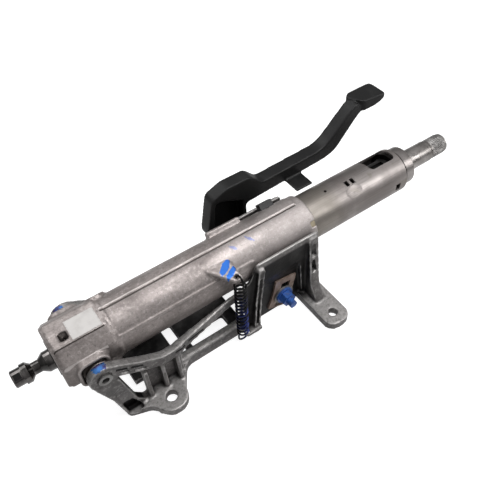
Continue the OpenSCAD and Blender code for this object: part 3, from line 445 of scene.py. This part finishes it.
# The grooves in the chords' outer faces are darkened with painted shade.
along, across, up = axes_of(tree, place)
drop = maths(tree, "MULTIPLY_ADD", along, CHORD_FALL, up)
slopes = both(tree, *(stripe(tree, along, *span) for span in SLOPING_SPANS))
grooves = times(tree, stripe(tree, drop, *SLOPING_GROOVE), slopes)
for height, span in LEVEL_GROOVES:
    grooves = both(tree, grooves, patch(tree, up, height, along, span))
outside = spread(tree, maths(tree, "ABSOLUTE", across), *CHORD_OUTSIDE, 0.0, GROOVE_SHADE)
colour = tint(tree, times(tree, grooves, outside), colour, BRACKET_SHADE)
boss_dabs = dab_pair(tree, place, BOSS_DABS, ragged=0.5)
inks = tint(tree, spread(tree, grain(tree, place, 150.0, 2.0), 0.40, 0.58), PAINT_VIOLET, PAINT_BLUE)
colour = tint(tree, times(tree, boss_dabs, 0.9), colour, inks)
set_sockets(tree, shader, {"Base Color": colour})
bracket.data.materials.append(bracket_skin)
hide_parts("mounting_bracket")
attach(bracket, "bracket")

# Pivot screws: two plated steel screws with a hollow head, turned into the bracket's bosses.
# They carry flanged plastic bushes in the jacket's ears, on which the column tilts.


def dress(node, finish):
    """Gives a node its finish in place of the plain one."""
    mesh = nodes[node].data
    mesh.materials.clear()
    mesh.materials.append(finish)


def turned_steel(name, pale, dark, metallic, roughness, lines):
    """Turned or drawn steel: fine lines across or along the piece, dark smears and a little uneven gloss."""
    finish, tree, shader, place = new_finish(name, metallic, roughness)
    smear = spread(tree, grain(tree, place, 60.0, 4.0), 0.35, 0.68)
    colour = tint(tree, smear, dark, pale)
    fine = grain(tree, place, 1.0, 2.0, stretch=lines)
    colour = tint(tree, spread(tree, fine, 0.45, 0.7, 0.0, 0.35), colour, dark)
    rough = uneven_gloss(tree, place, 110.0, roughness - 0.07, roughness + 0.10)
    set_sockets(tree, shader, {"Base Color": colour, "Roughness": rough})
    bumped(tree, shader, fine, strength=0.15, depth=0.0002)
    return finish


plated_steel = turned_steel("plated_steel", pale=(0.30, 0.295, 0.29), dark=(0.16, 0.155, 0.15),
                            metallic=0.75, roughness=0.36, lines=(300.0, 2600.0, 300.0))
dress("pivot_screws", plated_steel)


def moulded(name, colour, worn, roughness, pebble):
    """Moulded plastic: an even colour with scuffed patches and a pebbled skin."""
    finish, tree, shader, place = new_finish(name, 0.0, roughness)
    scuff = spread(tree, grain(tree, place, 75.0, 5.0), 0.52, 0.78)
    rough = uneven_gloss(tree, place, 40.0, roughness - 0.06, roughness + 0.08)
    set_sockets(tree, shader, {"Base Color": tint(tree, scuff, colour, worn), "Roughness": rough})
    bumped(tree, shader, grain(tree, place, pebble, 1.5), strength=0.2, depth=0.0003)
    return finish


black_plastic = moulded("black_plastic", colour=(0.012, 0.012, 0.013), worn=(0.022, 0.022, 0.023),
                        roughness=0.46, pebble=1500.0)
dress("pivot_bushes", black_plastic)

# Friction plates: two slotted steel plates beside the cheeks that the clamp squeezes.
# They are browned against rust and scored up and down, the way the clamp slides.
FRICTION_BROWN = (0.21, 0.148, 0.122)
FRICTION_PALE = (0.37, 0.285, 0.245)
FRICTION_BARE = (0.42, 0.365, 0.335)
SCORE_LINES = (2200.0, 2200.0, 160.0)
friction_brown, tree, shader, place = new_finish("friction_brown", metallic=0.45, roughness=0.5)
patches = spread(tree, grain(tree, place, 120.0, 4.0), 0.35, 0.7)
colour = tint(tree, patches, FRICTION_BROWN, FRICTION_PALE)
scores = spread(tree, grain(tree, place, 1.0, 2.0, stretch=SCORE_LINES), 0.6, 0.75, 0.0, 0.6)
colour = tint(tree, scores, colour, FRICTION_BARE)
set_sockets(tree, shader, {"Base Color": colour, "Roughness": spread(tree, patches, 0.0, 1.0, 0.55, 0.42)})
bumped(tree, shader, grain(tree, place, 900.0), strength=0.2, depth=0.0003)
dress("friction_plates", friction_brown)

# Column jacket: the second aluminium casting, with an eight-sided end block and a long round barrel.
# Its skin is paler than the bracket's, most of all towards the rim.
# It swings on the pivot screws, and its split lower side closes on the tube when the clamp is tight.
tube_low, tube_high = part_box("column_tube")
AXIS_HEIGHT = 0.5 * (tube_low[2] + tube_high[2])
JACKET_RADIUS = 0.0257
BAND_RADIUS = 0.0265
ROUND_SLACK = 0.00022


def true_round(piece, radii, slack):
    """Moves the points that lie within a slack of a round face, about the column's axis, onto that face."""
    points = corners(piece.data, "co").astype(float)
    far = np.hypot(points[:, 1], points[:, 2] - AXIS_HEIGHT)
    wanted = far.copy()
    for radius in radii:
        wanted = np.where(np.abs(far - radius) < slack, radius, wanted)
    share = wanted / np.maximum(far, TINY)
    points[:, 1] *= share
    points[:, 2] = AXIS_HEIGHT + (points[:, 2] - AXIS_HEIGHT) * share
    put_points(piece, points)


jacket = softened("column_jacket", "jacket_casting", CAST_CELL, CAST_PASSES, CAST_EDGE, CAST_HOLLOW)
true_round(jacket, (JACKET_RADIUS, BAND_RADIUS), ROUND_SLACK)

# Lines along the barrel: the ridge and the seam are a middle and half a width in radians from the top.
LINE_SPAN = (-0.0975, 0.1000)
RIDGE, RIDGE_HEIGHT = (0.058, 0.026), 0.0005
SEAM, SEAM_DEPTH = (-0.030, 0.028), 0.00035
LEAN_SOFT = 0.02
BARREL_FACING = 0.6


def line_shift(piece):
    """Raises the parting ridge and sinks the seam beside it, along the top of the barrel's outer face."""
    x, y, z = corners(piece.data, "co").T
    from_axis = np.stack((np.zeros_like(x), y, z - AXIS_HEIGHT), axis=1)
    from_axis /= np.maximum(np.linalg.norm(from_axis, axis=1, keepdims=True), TINY)
    lean = np.arctan2(y, z - AXIS_HEIGHT)
    outer = (from_axis * corners(piece.data, "normal")).sum(axis=1) > BARREL_FACING
    lift = RIDGE_HEIGHT * near(lean, *RIDGE, LEAN_SOFT) - SEAM_DEPTH * near(lean, *SEAM, LEAN_SOFT)
    return from_axis * (lift * outer * near(x, *LINE_SPAN))[:, None]


put_points(jacket, corners(jacket.data, "co") + line_shift(jacket))

# Skin of the jacket: strokes of blue paint, bold and faint, and on the end block a dark fold of painted
# shadow and a bright crest of painted highlight.
JACKET_PALE = (0.315, 0.281, 0.270)
JACKET_DULL = (0.205, 0.180, 0.172)
JACKET_SHADE = (0.026, 0.022, 0.020)
JACKET_BRIGHT = (0.62, 0.575, 0.56)
LABEL_RECESS = ((-0.236, 0.0, 0.098), (-0.2255, 0.010, 0.1006), (0.0006, 0.0006, 0.0006))
EAR_DISH = ((-0.2328, 0.0265, 0.0642), (-0.2107, 0.0300, 0.0858), (0.0003, 0.0006, 0.0003))
RIM_PALE, RIM_FADE = (0.47, 0.432, 0.422), (-0.105, -0.010)
RIM_SPARKLE = (0.70, 0.66, 0.65)
UNDERSIDE_SHADE = (0.120, 0.102, 0.094)
UNDERSIDE_HEIGHTS, UNDERSIDE_FADE = (0.092, 0.066), (-0.05, -0.11)
STREAK_LINES = (14.0, 260.0, 260.0)
BOLD_BLUE, FAINT_BLUE = (0.022, 0.125, 0.47), (0.090, 0.135, 0.34)
BOLD_DABS = (((-0.0898, -0.0200, 0.0965), (0.0088, 0.0033, 0.0080), 0.64),
             ((-0.0880, -0.0272, 0.0950), (0.0082, 0.0026, 0.0060), 0.52))
FAINT_DABS = (((-0.0725, -0.0085, 0.1003), (0.0050, 0.0013, 0.0030), -0.9),
              ((-0.0555, -0.0075, 0.1005), (0.0050, 0.0013, 0.0030), -0.9))
FOLD, FOLD_SPAN = (-0.0142, 0.0005), (-0.2215, 0.0215)
CREST, CREST_SPAN = (-0.0254, 0.0004), (-0.2240, 0.0190)
LINES_ABOVE = (0.0860, 0.0870)
LINE_SHADE = (0.050, 0.042, 0.039)
# The jacket's hollows, its label recess and its ear dishes are darkened with painted shade.
jacket_skin, tree, shader, place, colour = cast_skin(
    "jacket_skin", JACKET_PALE, JACKET_DULL, JACKET_SHADE, JACKET_BRIGHT,
    metallic=0.7, wear=0.6, painted_top_light=0.0, shaded_boxes=(LABEL_RECESS, EAR_DISH))
along, across, up = axes_of(tree, place)
rim_share = spread(tree, along, *RIM_FADE, 0.0, 0.5)
rim_share = times(tree, rim_share, spread(tree, grain(tree, place, 45.0), 0.25, 0.6, 0.45, 1.0))
colour = tint(tree, rim_share, colour, RIM_PALE)
# The lower side of the jacket, towards its lower end, is darkened with painted shade.
underside = times(tree, spread(tree, up, *UNDERSIDE_HEIGHTS, 0.0, 0.65), spread(tree, along, *UNDERSIDE_FADE))
colour = tint(tree, underside, colour, UNDERSIDE_SHADE)
streaks = spread(tree, grain(tree, place, 1.0, stretch=STREAK_LINES), 0.55, 0.8, 0.0, 0.45)
colour = tint(tree, streaks, colour, darker(JACKET_DULL, 0.55))
bold = dab_pair(tree, place, BOLD_DABS, ragged=0.25)
faint = dab_pair(tree, place, FAINT_DABS, ragged=0.5)
colour = tint(tree, times(tree, faint, 0.6), colour, FAINT_BLUE)
colour = tint(tree, bold, colour, BOLD_BLUE)
# Bright specks towards the rim: cast grain with painted glints.
sparkle = times(tree, rim_share, spread(tree, grain(tree, place, 760.0, 2.0), 0.60, 0.72))
colour = tint(tree, times(tree, sparkle, 0.6), colour, RIM_SPARKLE)
# Painted shadow along the seam and the fold, and painted highlight along the crest and the ridge.
lean = maths(tree, "ARCTAN2", across, maths(tree, "SUBTRACT", up, AXIS_HEIGHT))
ridge = patch(tree, lean, RIDGE, along, LINE_SPAN)
seam = patch(tree, lean, SEAM, along, LINE_SPAN)
fold = patch(tree, across, FOLD, along, FOLD_SPAN)
crest = patch(tree, across, CREST, along, CREST_SPAN)
on_top = spread(tree, up, *LINES_ABOVE)
colour = tint(tree, times(tree, both(tree, seam, fold), on_top), colour, LINE_SHADE)
painted_highlight = times(tree, both(tree, crest, ridge), on_top)
colour = tint(tree, times(tree, painted_highlight, 0.6), colour, JACKET_BRIGHT)
set_sockets(tree, shader, {"Base Color": colour})
jacket.data.materials.append(jacket_skin)
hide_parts("column_jacket")
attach(jacket, "jacket")

# Slide bushes and reach guide: moulded pieces between the jacket and the tube.
# The bushes are cream plastic smeared with old grease; the guide is black and pushed in from the far side.
cream_plastic = moulded("cream_plastic", colour=(0.33, 0.285, 0.20), worn=(0.20, 0.165, 0.11),
                        roughness=0.5, pebble=700.0)
dress("upper_slide_bush", cream_plastic)
dress("lower_slide_bush", cream_plastic)
dress("reach_guide", black_plastic)

# Lower bearing: two ground steel rings with a row of balls, held by a spring clip behind a rubber seal.
# The rings and balls are bright; the clip is dark with oil.
bearing_steel = turned_steel("bearing_steel", pale=(0.52, 0.52, 0.525), dark=(0.34, 0.335, 0.33),
                             metallic=0.95, roughness=0.22, lines=(3000.0, 200.0, 200.0))
clip_steel = turned_steel("clip_steel", pale=(0.048, 0.046, 0.045), dark=(0.016, 0.015, 0.015),
                          metallic=0.9, roughness=0.36, lines=(2400.0, 400.0, 400.0))
seal_rubber = moulded("seal_rubber", colour=(0.010, 0.010, 0.010), worn=(0.026, 0.025, 0.024),
                      roughness=0.62, pebble=1100.0)
for node in ("lower_bearing_outer_ring", "lower_bearing_balls", "lower_bearing_inner_ring"):
    dress(node, bearing_steel)
dress("lower_bearing_clip", clip_steel)
dress("lower_seal", seal_rubber)

# Label: a plain white film stuck on the flat of the end block, left blank.
# Its face is scuffed grey towards the edges, where dirt has caught in the glue.
LABEL_WHITE, LABEL_GREY = (0.50, 0.482, 0.468), (0.32, 0.302, 0.292)
label_low, label_high = np.array(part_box("blank_label"))
label_mid = 0.5 * (label_low + label_high)
label_half = 0.5 * (label_high - label_low)
label_film, tree, shader, place = new_finish("label_film", metallic=0.0, roughness=0.42)
sockets = {0: place, 1: label_mid.tolist(), 3: (*label_half[:2].tolist(), 1.0)}
local = add_node(tree, "ShaderNodeMapping", sockets, vector_type="TEXTURE").outputs[0]
away = add_node(tree, "ShaderNodeVectorMath", {0: local}, operation="ABSOLUTE").outputs[0]
along, across = axes_of(tree, away)[:2]
rim = spread(tree, both(tree, along, across), 0.86, 1.0, 0.0, 0.7)
rim = times(tree, rim, spread(tree, grain(tree, place, 500.0), 0.35, 0.6))
scuffs = spread(tree, grain(tree, place, 130.0, 6.0), 0.40, 0.85, 0.0, 0.55)
colour = tint(tree, both(tree, rim, scuffs), LABEL_WHITE, LABEL_GREY)
set_sockets(tree, shader, {"Base Color": colour, "Roughness": spread(tree, scuffs, 0.0, 0.6, 0.36, 0.55)})
bumped(tree, shader, grain(tree, place, 260.0, 2.0), strength=0.12, depth=0.0003)
dress("blank_label", label_film)

# Clamp bolt, nut and washers: the bolt crosses the column through the ears and the tilt slots.
# The nut and the bolt's end are marked with blue assembly paint, thin in places.
# A black plastic slider guides the bolt in the near slot.
CLAMP_STEEL = (0.17, 0.168, 0.165)
CLAMP_BLUES = ((0.020, 0.072, 0.28), (0.030, 0.110, 0.38))
PAINTED_FROM = (-0.0260, -0.0285)
clamp_blue, tree, shader, place = new_finish("clamp_blue", metallic=0.25, roughness=0.34)
painted = spread(tree, axes_of(tree, place)[1], *PAINTED_FROM)
thin = spread(tree, grain(tree, place, 330.0, 4.0), 0.28, 0.50, 0.70, 1.0)
colour = tint(tree, spread(tree, grain(tree, place, 160.0, 2.0), 0.3, 0.7), *CLAMP_BLUES)
colour = tint(tree, times(tree, painted, thin), CLAMP_STEEL, colour)
set_sockets(tree, shader, {"Base Color": colour, "Roughness": spread(tree, thin, 0.70, 1.0, 0.28, 0.42)})
bumped(tree, shader, grain(tree, place, 800.0), strength=0.08, depth=0.0002)
dress("clamp_bolt", clamp_blue)
dress("clamp_nut", clamp_blue)
dress("nut_washer", plated_steel)
dress("lever_washer", plated_steel)
dress("slot_slider", black_plastic)

# Cams: a pair of sintered steel discs with three lobes each, grey from the press and oiled.
# One sits in the far tilt slot, the other turns with the lever and pushes the stack together.
cam_steel = turned_steel("cam_steel", pale=(0.21, 0.205, 0.20), dark=(0.11, 0.105, 0.10),
                         metallic=0.6, roughness=0.45, lines=(900.0, 900.0, 900.0))
dress("fixed_cam", cam_steel)
dress("moving_cam", cam_steel)

# Column tube and bearing carrier: a drawn steel tube with punched holes and a turned collar in its end.
# The tube has draw lines along its length, brown smears of grease and a pressed dimple on the near side.
# The collar is turned bright, with a black band of painted shade where it meets the tube.
TUBE_DARK, TUBE_PALE = (0.200, 0.180, 0.171), (0.305, 0.280, 0.270)
TUBE_LINE, TUBE_LINES = (0.125, 0.111, 0.104), (16.0, 900.0, 900.0)
GREASE, GREASE_FADE = (0.190, 0.172, 0.140), (0.056, 0.030)
tube_steel, tree, shader, place = new_finish("tube_steel", metallic=0.88, roughness=0.40)
smear = spread(tree, grain(tree, place, 30.0, 5.0), 0.36, 0.66)
colour = tint(tree, smear, TUBE_DARK, TUBE_PALE)
draw_lines = grain(tree, place, 1.0, stretch=TUBE_LINES)
colour = tint(tree, spread(tree, draw_lines, 0.5, 0.75, 0.0, 0.5), colour, TUBE_LINE)
grease = spread(tree, grain(tree, place, 65.0, 4.0), 0.58, 0.72, 0.0, 0.55)
grease = both(tree, grease, spread(tree, axes_of(tree, place)[0], *GREASE_FADE, 0.0, 0.5))
colour = tint(tree, grease, colour, GREASE)
set_sockets(tree, shader, {"Base Color": colour, "Roughness": spread(tree, smear, 0.0, 1.0, 0.46, 0.36)})
bumped(tree, shader, draw_lines, strength=0.12, depth=0.0003)
dress("column_tube", tube_steel)

COLLAR_DARK, COLLAR_PALE = (0.215, 0.196, 0.188), (0.335, 0.310, 0.300)
COLLAR_LINE, COLLAR_LINES = (0.170, 0.153, 0.146), (2600.0, 90.0, 90.0)
COLLAR_GAP_SHADE, COLLAR_BAND = (0.010, 0.009, 0.009), (0.1350, 0.1340)
collar_steel, tree, shader, place = new_finish("collar_steel", metallic=0.92, roughness=0.30)
smear = spread(tree, grain(tree, place, 60.0, 4.0), 0.35, 0.68)
colour = tint(tree, smear, COLLAR_DARK, COLLAR_PALE)
turned_lines = grain(tree, place, 1.0, 2.0, stretch=COLLAR_LINES)
colour = tint(tree, spread(tree, turned_lines, 0.45, 0.7, 0.0, 0.35), colour, COLLAR_LINE)
# A black band of painted shade on the collar where it meets the tube.
colour = tint(tree, spread(tree, axes_of(tree, place)[0], *COLLAR_BAND), colour, COLLAR_GAP_SHADE)
set_sockets(tree, shader, {"Base Color": colour})
bumped(tree, shader, turned_lines, strength=0.15, depth=0.0002)
dress("bearing_carrier", collar_steel)

# Upper bearing: the same kind of ring pair and balls as below, in the carrier's end.
# Two spring clips hold it, one in the carrier and one on the shaft.
for node in ("upper_bearing_outer_ring", "upper_bearing_balls", "upper_bearing_inner_ring"):
    dress(node, bearing_steel)
dress("upper_bearing_clip", clip_steel)
dress("upper_shaft_clip", clip_steel)

# Upper shaft: turned steel, ground where it runs in the bearing, with fine rolled teeth for the wheel.
# The teeth fade out at the groove and at the chamfered end.
shaft_steel = turned_steel("shaft_steel", pale=(0.38, 0.360, 0.348), dark=(0.225, 0.210, 0.200),
                           metallic=0.92, roughness=0.30, lines=(2200.0, 70.0, 70.0))
dress("upper_shaft", shaft_steel)

TOOTH_COUNT, TOOTH_STEPS = 40, 8
TOOTH_ROOT, TOOTH_RISE = 0.01031, 0.00042
TOOTH_SWING = 0.9
START_FADE, END_FADE, FADE_DROP = 0.10, 0.12, 0.0004
SPLINE_ROWS = 16
SPLINE_INSIDE = 0.0091
SPLINE_LENGTH, SPLINE_CHAMFER = 0.0211, 0.0010
SPLINE_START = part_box("upper_shaft")[1][0] - SPLINE_CHAMFER - SPLINE_LENGTH


def spline_surface():
    """Rows of points round the shaft, one after another along it. The radius is the root's and a tooth's
    rise, a cosine of the turn stretched and cut flat at top and bottom; the root sinks and the teeth fade
    towards both ends. Two plain rows inside, at the last end and the first, make it a sleeve."""
    turns = np.linspace(0.0, 2.0 * np.pi, TOOTH_COUNT * TOOTH_STEPS, endpoint=False)
    turn, run = np.meshgrid(turns, np.linspace(0.0, 1.0, SPLINE_ROWS))
    tooth = np.clip(0.5 + TOOTH_SWING * np.cos(TOOTH_COUNT * turn), 0.0, 1.0)
    fade = np.clip(np.minimum(run / START_FADE, (1.0 - run) / END_FADE), 0.0, 1.0)
    radius = TOOTH_ROOT - FADE_DROP * (1.0 - fade) + TOOTH_RISE * tooth * fade
    run = np.concatenate([run, run[[-1, 0]]])
    turn = np.concatenate([turn, turn[:2]])
    radius = np.concatenate([radius, np.full_like(radius[:2], SPLINE_INSIDE)])
    return np.stack([SPLINE_START + SPLINE_LENGTH * run, -radius * np.sin(turn),
                     AXIS_HEIGHT + radius * np.cos(turn)], axis=-1)


def grid_mesh(name, points, joined):
    """A closed mesh over a grid of points, rows along the piece and columns round it.
    The last row is joined to the first one, or each of the two has a flat cap."""
    rows, columns = points.shape[:2]
    row = np.arange(rows if joined else rows - 1)[:, None] * columns
    beyond = (row + columns) % (rows * columns)
    column = np.arange(columns)[None, :]
    after = (column + 1) % columns
    quads = np.stack([row + column, row + after, beyond + after, beyond + column], axis=-1)
    faces = quads.reshape(-1, 4).tolist()
    if not joined:
        faces += [list(range(columns))[::-1], list(range((rows - 1) * columns, rows * columns))]
    mesh = bpy.data.meshes.new(name)
    mesh.from_pydata(points.reshape(-1, 3).tolist(), [], faces)
    shade_smooth(mesh)
    piece = bpy.data.objects.new(name, mesh)
    scene.collection.objects.link(piece)
    return piece


spline_steel = turned_steel("spline_steel", pale=(0.43, 0.42, 0.41), dark=(0.20, 0.19, 0.185),
                            metallic=0.85, roughness=0.30, lines=(120.0, 1800.0, 1800.0))
spline = grid_mesh("wheel_spline", spline_surface(), True)
spline.data.materials.append(spline_steel)
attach(spline, "upper_shaft")

# Lock sleeve and lower shaft: dark oiled steel; the sleeve is near black, as painted shade inside the tube,
# and its notches take the steering lock's bolt.
# The lower shaft slides in the upper one on four keys and ends in a stub for the joint below.
# The small pocket in the stub is black inside, as painted shade.
POCKET_SPAN, POCKET_DEPTHS = (-0.2742, 0.0031), (0.0072, 0.0068)
POCKET_SHADE = (0.004, 0.004, 0.004)
OIL_COAT, OIL_ROUGHNESS = 0.7, 0.09
oiled_steel = turned_steel("oiled_steel", pale=(0.165, 0.152, 0.147), dark=(0.020, 0.018, 0.017),
                           metallic=0.94, roughness=0.18, lines=(1900.0, 120.0, 120.0))
tree = oiled_steel.node_tree
shader = tree.nodes["Principled BSDF"]
place = add_node(tree, "ShaderNodeTexCoord", {}).outputs["Object"]
sockets = {0: place, 1: (0.0, 1.0, 1.0), 2: (0.0, 0.0, -AXIS_HEIGHT)}
from_axis = add_node(tree, "ShaderNodeVectorMath", sockets, operation="MULTIPLY_ADD").outputs[0]
far = add_node(tree, "ShaderNodeVectorMath", {0: from_axis}, operation="LENGTH").outputs["Value"]
# Painted shade: the inside of the stub's pocket is made black.
pocket = times(tree, stripe(tree, axes_of(tree, place)[0], *POCKET_SPAN), spread(tree, far, *POCKET_DEPTHS))
colour = tint(tree, pocket, shader.inputs["Base Color"].links[0].from_socket, POCKET_SHADE)
set_sockets(tree, shader, {"Base Color": colour, "Coat Weight": OIL_COAT, "Coat Roughness": OIL_ROUGHNESS})
# The lock sleeve takes the near-black clip steel: painted shade inside the tube.
dress("lock_sleeve", clip_steel)
dress("lower_shaft", oiled_steel)
dress("lower_shaft_clip", clip_steel)

# Tilt spring: tension spring of oiled wire, wound in one piece with a hook at each end.
# The lower hook goes through the bracket's lug and the upper one through the jacket's ear.
WIRE_RADIUS, WIRE_SIDES, WIRE_STEP = 0.0009, 12, 0.0004
COILS, COIL_STEPS, LOOP_STEPS = 15, 60, 40
HOOK_LEG, FREE_LEG = 0.005, 0.004
ROUNDING = 3
spring_low, spring_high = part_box("tilt_spring")
SPRING_X = 0.5 * (spring_low[0] + spring_high[0])
SPRING_Y = 0.5 * (spring_low[1] + spring_high[1])
COIL_RADIUS = 0.5 * (spring_high[0] - spring_low[0]) - WIRE_RADIUS
HOOK_LOW = spring_low[2] + WIRE_RADIUS + COIL_RADIUS
HOOK_HIGH = spring_high[2] - WIRE_RADIUS - COIL_RADIUS
COIL_LOW, COIL_HIGH = HOOK_LOW + HOOK_LEG, HOOK_HIGH - HOOK_LEG


def spring_path():
    """Middle line of the wire: free leg, half loop, leg, helix, leg, half loop and free leg, in that order.
    The lower loop stands along X and the upper one along Y. The line is measured along its length, cut into
    even steps and averaged over a few, which rounds its corners. A direction square to it goes with it."""
    half_turn = np.linspace(0.0, np.pi, LOOP_STEPS)
    flat = 0.0 * half_turn
    swing = np.linspace(0.0, 2.0 * np.pi * COILS - 0.5 * np.pi, COIL_STEPS * COILS)
    low = np.stack([-COIL_RADIUS * np.cos(half_turn), flat, HOOK_LOW - COIL_RADIUS * np.sin(half_turn)], 1)
    coil = np.stack([COIL_RADIUS * np.cos(swing), COIL_RADIUS * np.sin(swing),
                     COIL_LOW + (COIL_HIGH - COIL_LOW) * swing / swing[-1]], 1)
    high = np.stack([flat, -COIL_RADIUS * np.cos(half_turn), HOOK_HIGH + COIL_RADIUS * np.sin(half_turn)], 1)
    first = np.array([[-COIL_RADIUS, 0.0, HOOK_LOW + FREE_LEG]])
    last = np.array([[0.0, COIL_RADIUS, HOOK_HIGH - FREE_LEG]])
    line = np.concatenate([first, low, coil, high, last])
    square = np.repeat(np.array([[0.0, 1.0, 0.0], [0.0, 0.0, -1.0], [1.0, 0.0, 0.0]]),
                       [len(low) + 1, len(coil), len(high) + 1], axis=0)
    length = np.concatenate([[0.0], np.cumsum(np.linalg.norm(np.diff(line, axis=0), axis=1))])
    even = np.arange(0.0, length[-1], WIRE_STEP)
    rows = np.stack([np.interp(even, length, column) for column in (*line.T, *square.T)], 1)
    window = np.hanning(2 * ROUNDING + 3)[1:-1]
    rows = np.stack([np.convolve(np.pad(column, ROUNDING, mode="edge"), window / window.sum(), "valid")
                     for column in rows.T], 1)
    return rows[:, :3] + np.array([SPRING_X, SPRING_Y, 0.0]), rows[:, 3:]


def wire_surface(line, square):
    """Circles carried along a line and square to it, each turned by the direction given for its place."""
    ahead = np.gradient(line, axis=0)
    ahead /= np.linalg.norm(ahead, axis=1, keepdims=True)
    across = np.cross(ahead, square)
    across /= np.linalg.norm(across, axis=1, keepdims=True)
    above = np.cross(across, ahead)
    angle = np.linspace(0.0, 2.0 * np.pi, WIRE_SIDES, endpoint=False)
    ring = np.cos(angle)[None, :, None] * across[:, None] + np.sin(angle)[None, :, None] * above[:, None]
    return line[:, None] + WIRE_RADIUS * ring


WIRE_BLACK, FILM_BLUE = (0.012, 0.012, 0.012), (0.020, 0.028, 0.115)
FILM_BELOW = (0.075, 0.055)
spring = grid_mesh("tilt_spring_wire", wire_surface(*spring_path()), False)
spring_steel, tree, shader, place = new_finish("spring_steel", metallic=0.9, roughness=0.32)
film = spread(tree, grain(tree, place, 150.0), 0.42, 0.66)
film = times(tree, film, spread(tree, axes_of(tree, place)[2], *FILM_BELOW))
colour = tint(tree, film, WIRE_BLACK, FILM_BLUE)
set_sockets(tree, shader, {"Base Color": colour, "Roughness": spread(tree, film, 0.0, 1.0, 0.38, 0.28)})
bumped(tree, shader, grain(tree, place, 1300.0), strength=0.12, depth=0.0002)
spring.data.materials.append(spring_steel)
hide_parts("tilt_spring")
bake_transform(spring)

# Clamp lever: moulded black plastic, hollow at its base where it sits on the clamp bolt.
# The arm runs along the column to a thumb pad, and all its edges are softly rounded.
LEVER_CELL, LEVER_PASSES = 0.0008, 9
LEVER_EDGE, LEVER_HOLLOW = (10, 0.0004), (160, 0.0040)
LEVER_BLACK, LEVER_SCUFF = (0.0055, 0.0055, 0.0057), (0.011, 0.011, 0.011)
LEVER_RUB, LEVER_HOLLOW_SHADE = (0.045, 0.045, 0.045), (0.002, 0.002, 0.002)
LEVER_SPECULAR = 0.28
lever = softened("clamp_lever", "lever_moulding", LEVER_CELL, LEVER_PASSES, LEVER_EDGE, LEVER_HOLLOW)
lever_black, tree, shader, place = new_finish("lever_black", metallic=0.0, roughness=0.48)
scuff = spread(tree, grain(tree, place, 70.0, 5.0), 0.5, 0.8)
colour = tint(tree, scuff, LEVER_BLACK, LEVER_SCUFF)
rub = times(tree, spread(tree, relief_of(tree, "edge"), 0.25, 0.9), 0.5)
colour = tint(tree, rub, colour, LEVER_RUB)
# The lever's hollows are darkened with painted shade.
colour = tint(tree, spread(tree, relief_of(tree, "hollow"), -0.15, -0.8), colour, LEVER_HOLLOW_SHADE)
set_sockets(tree, shader, {"Base Color": colour, "Roughness": uneven_gloss(tree, place, 35.0, 0.42, 0.56),
                           "Specular IOR Level": LEVER_SPECULAR})
bumped(tree, shader, grain(tree, place, 1400.0, 1.5), strength=0.25, depth=0.0003)
lever.data.materials.append(lever_black)
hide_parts("clamp_lever")
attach(lever, "lever")
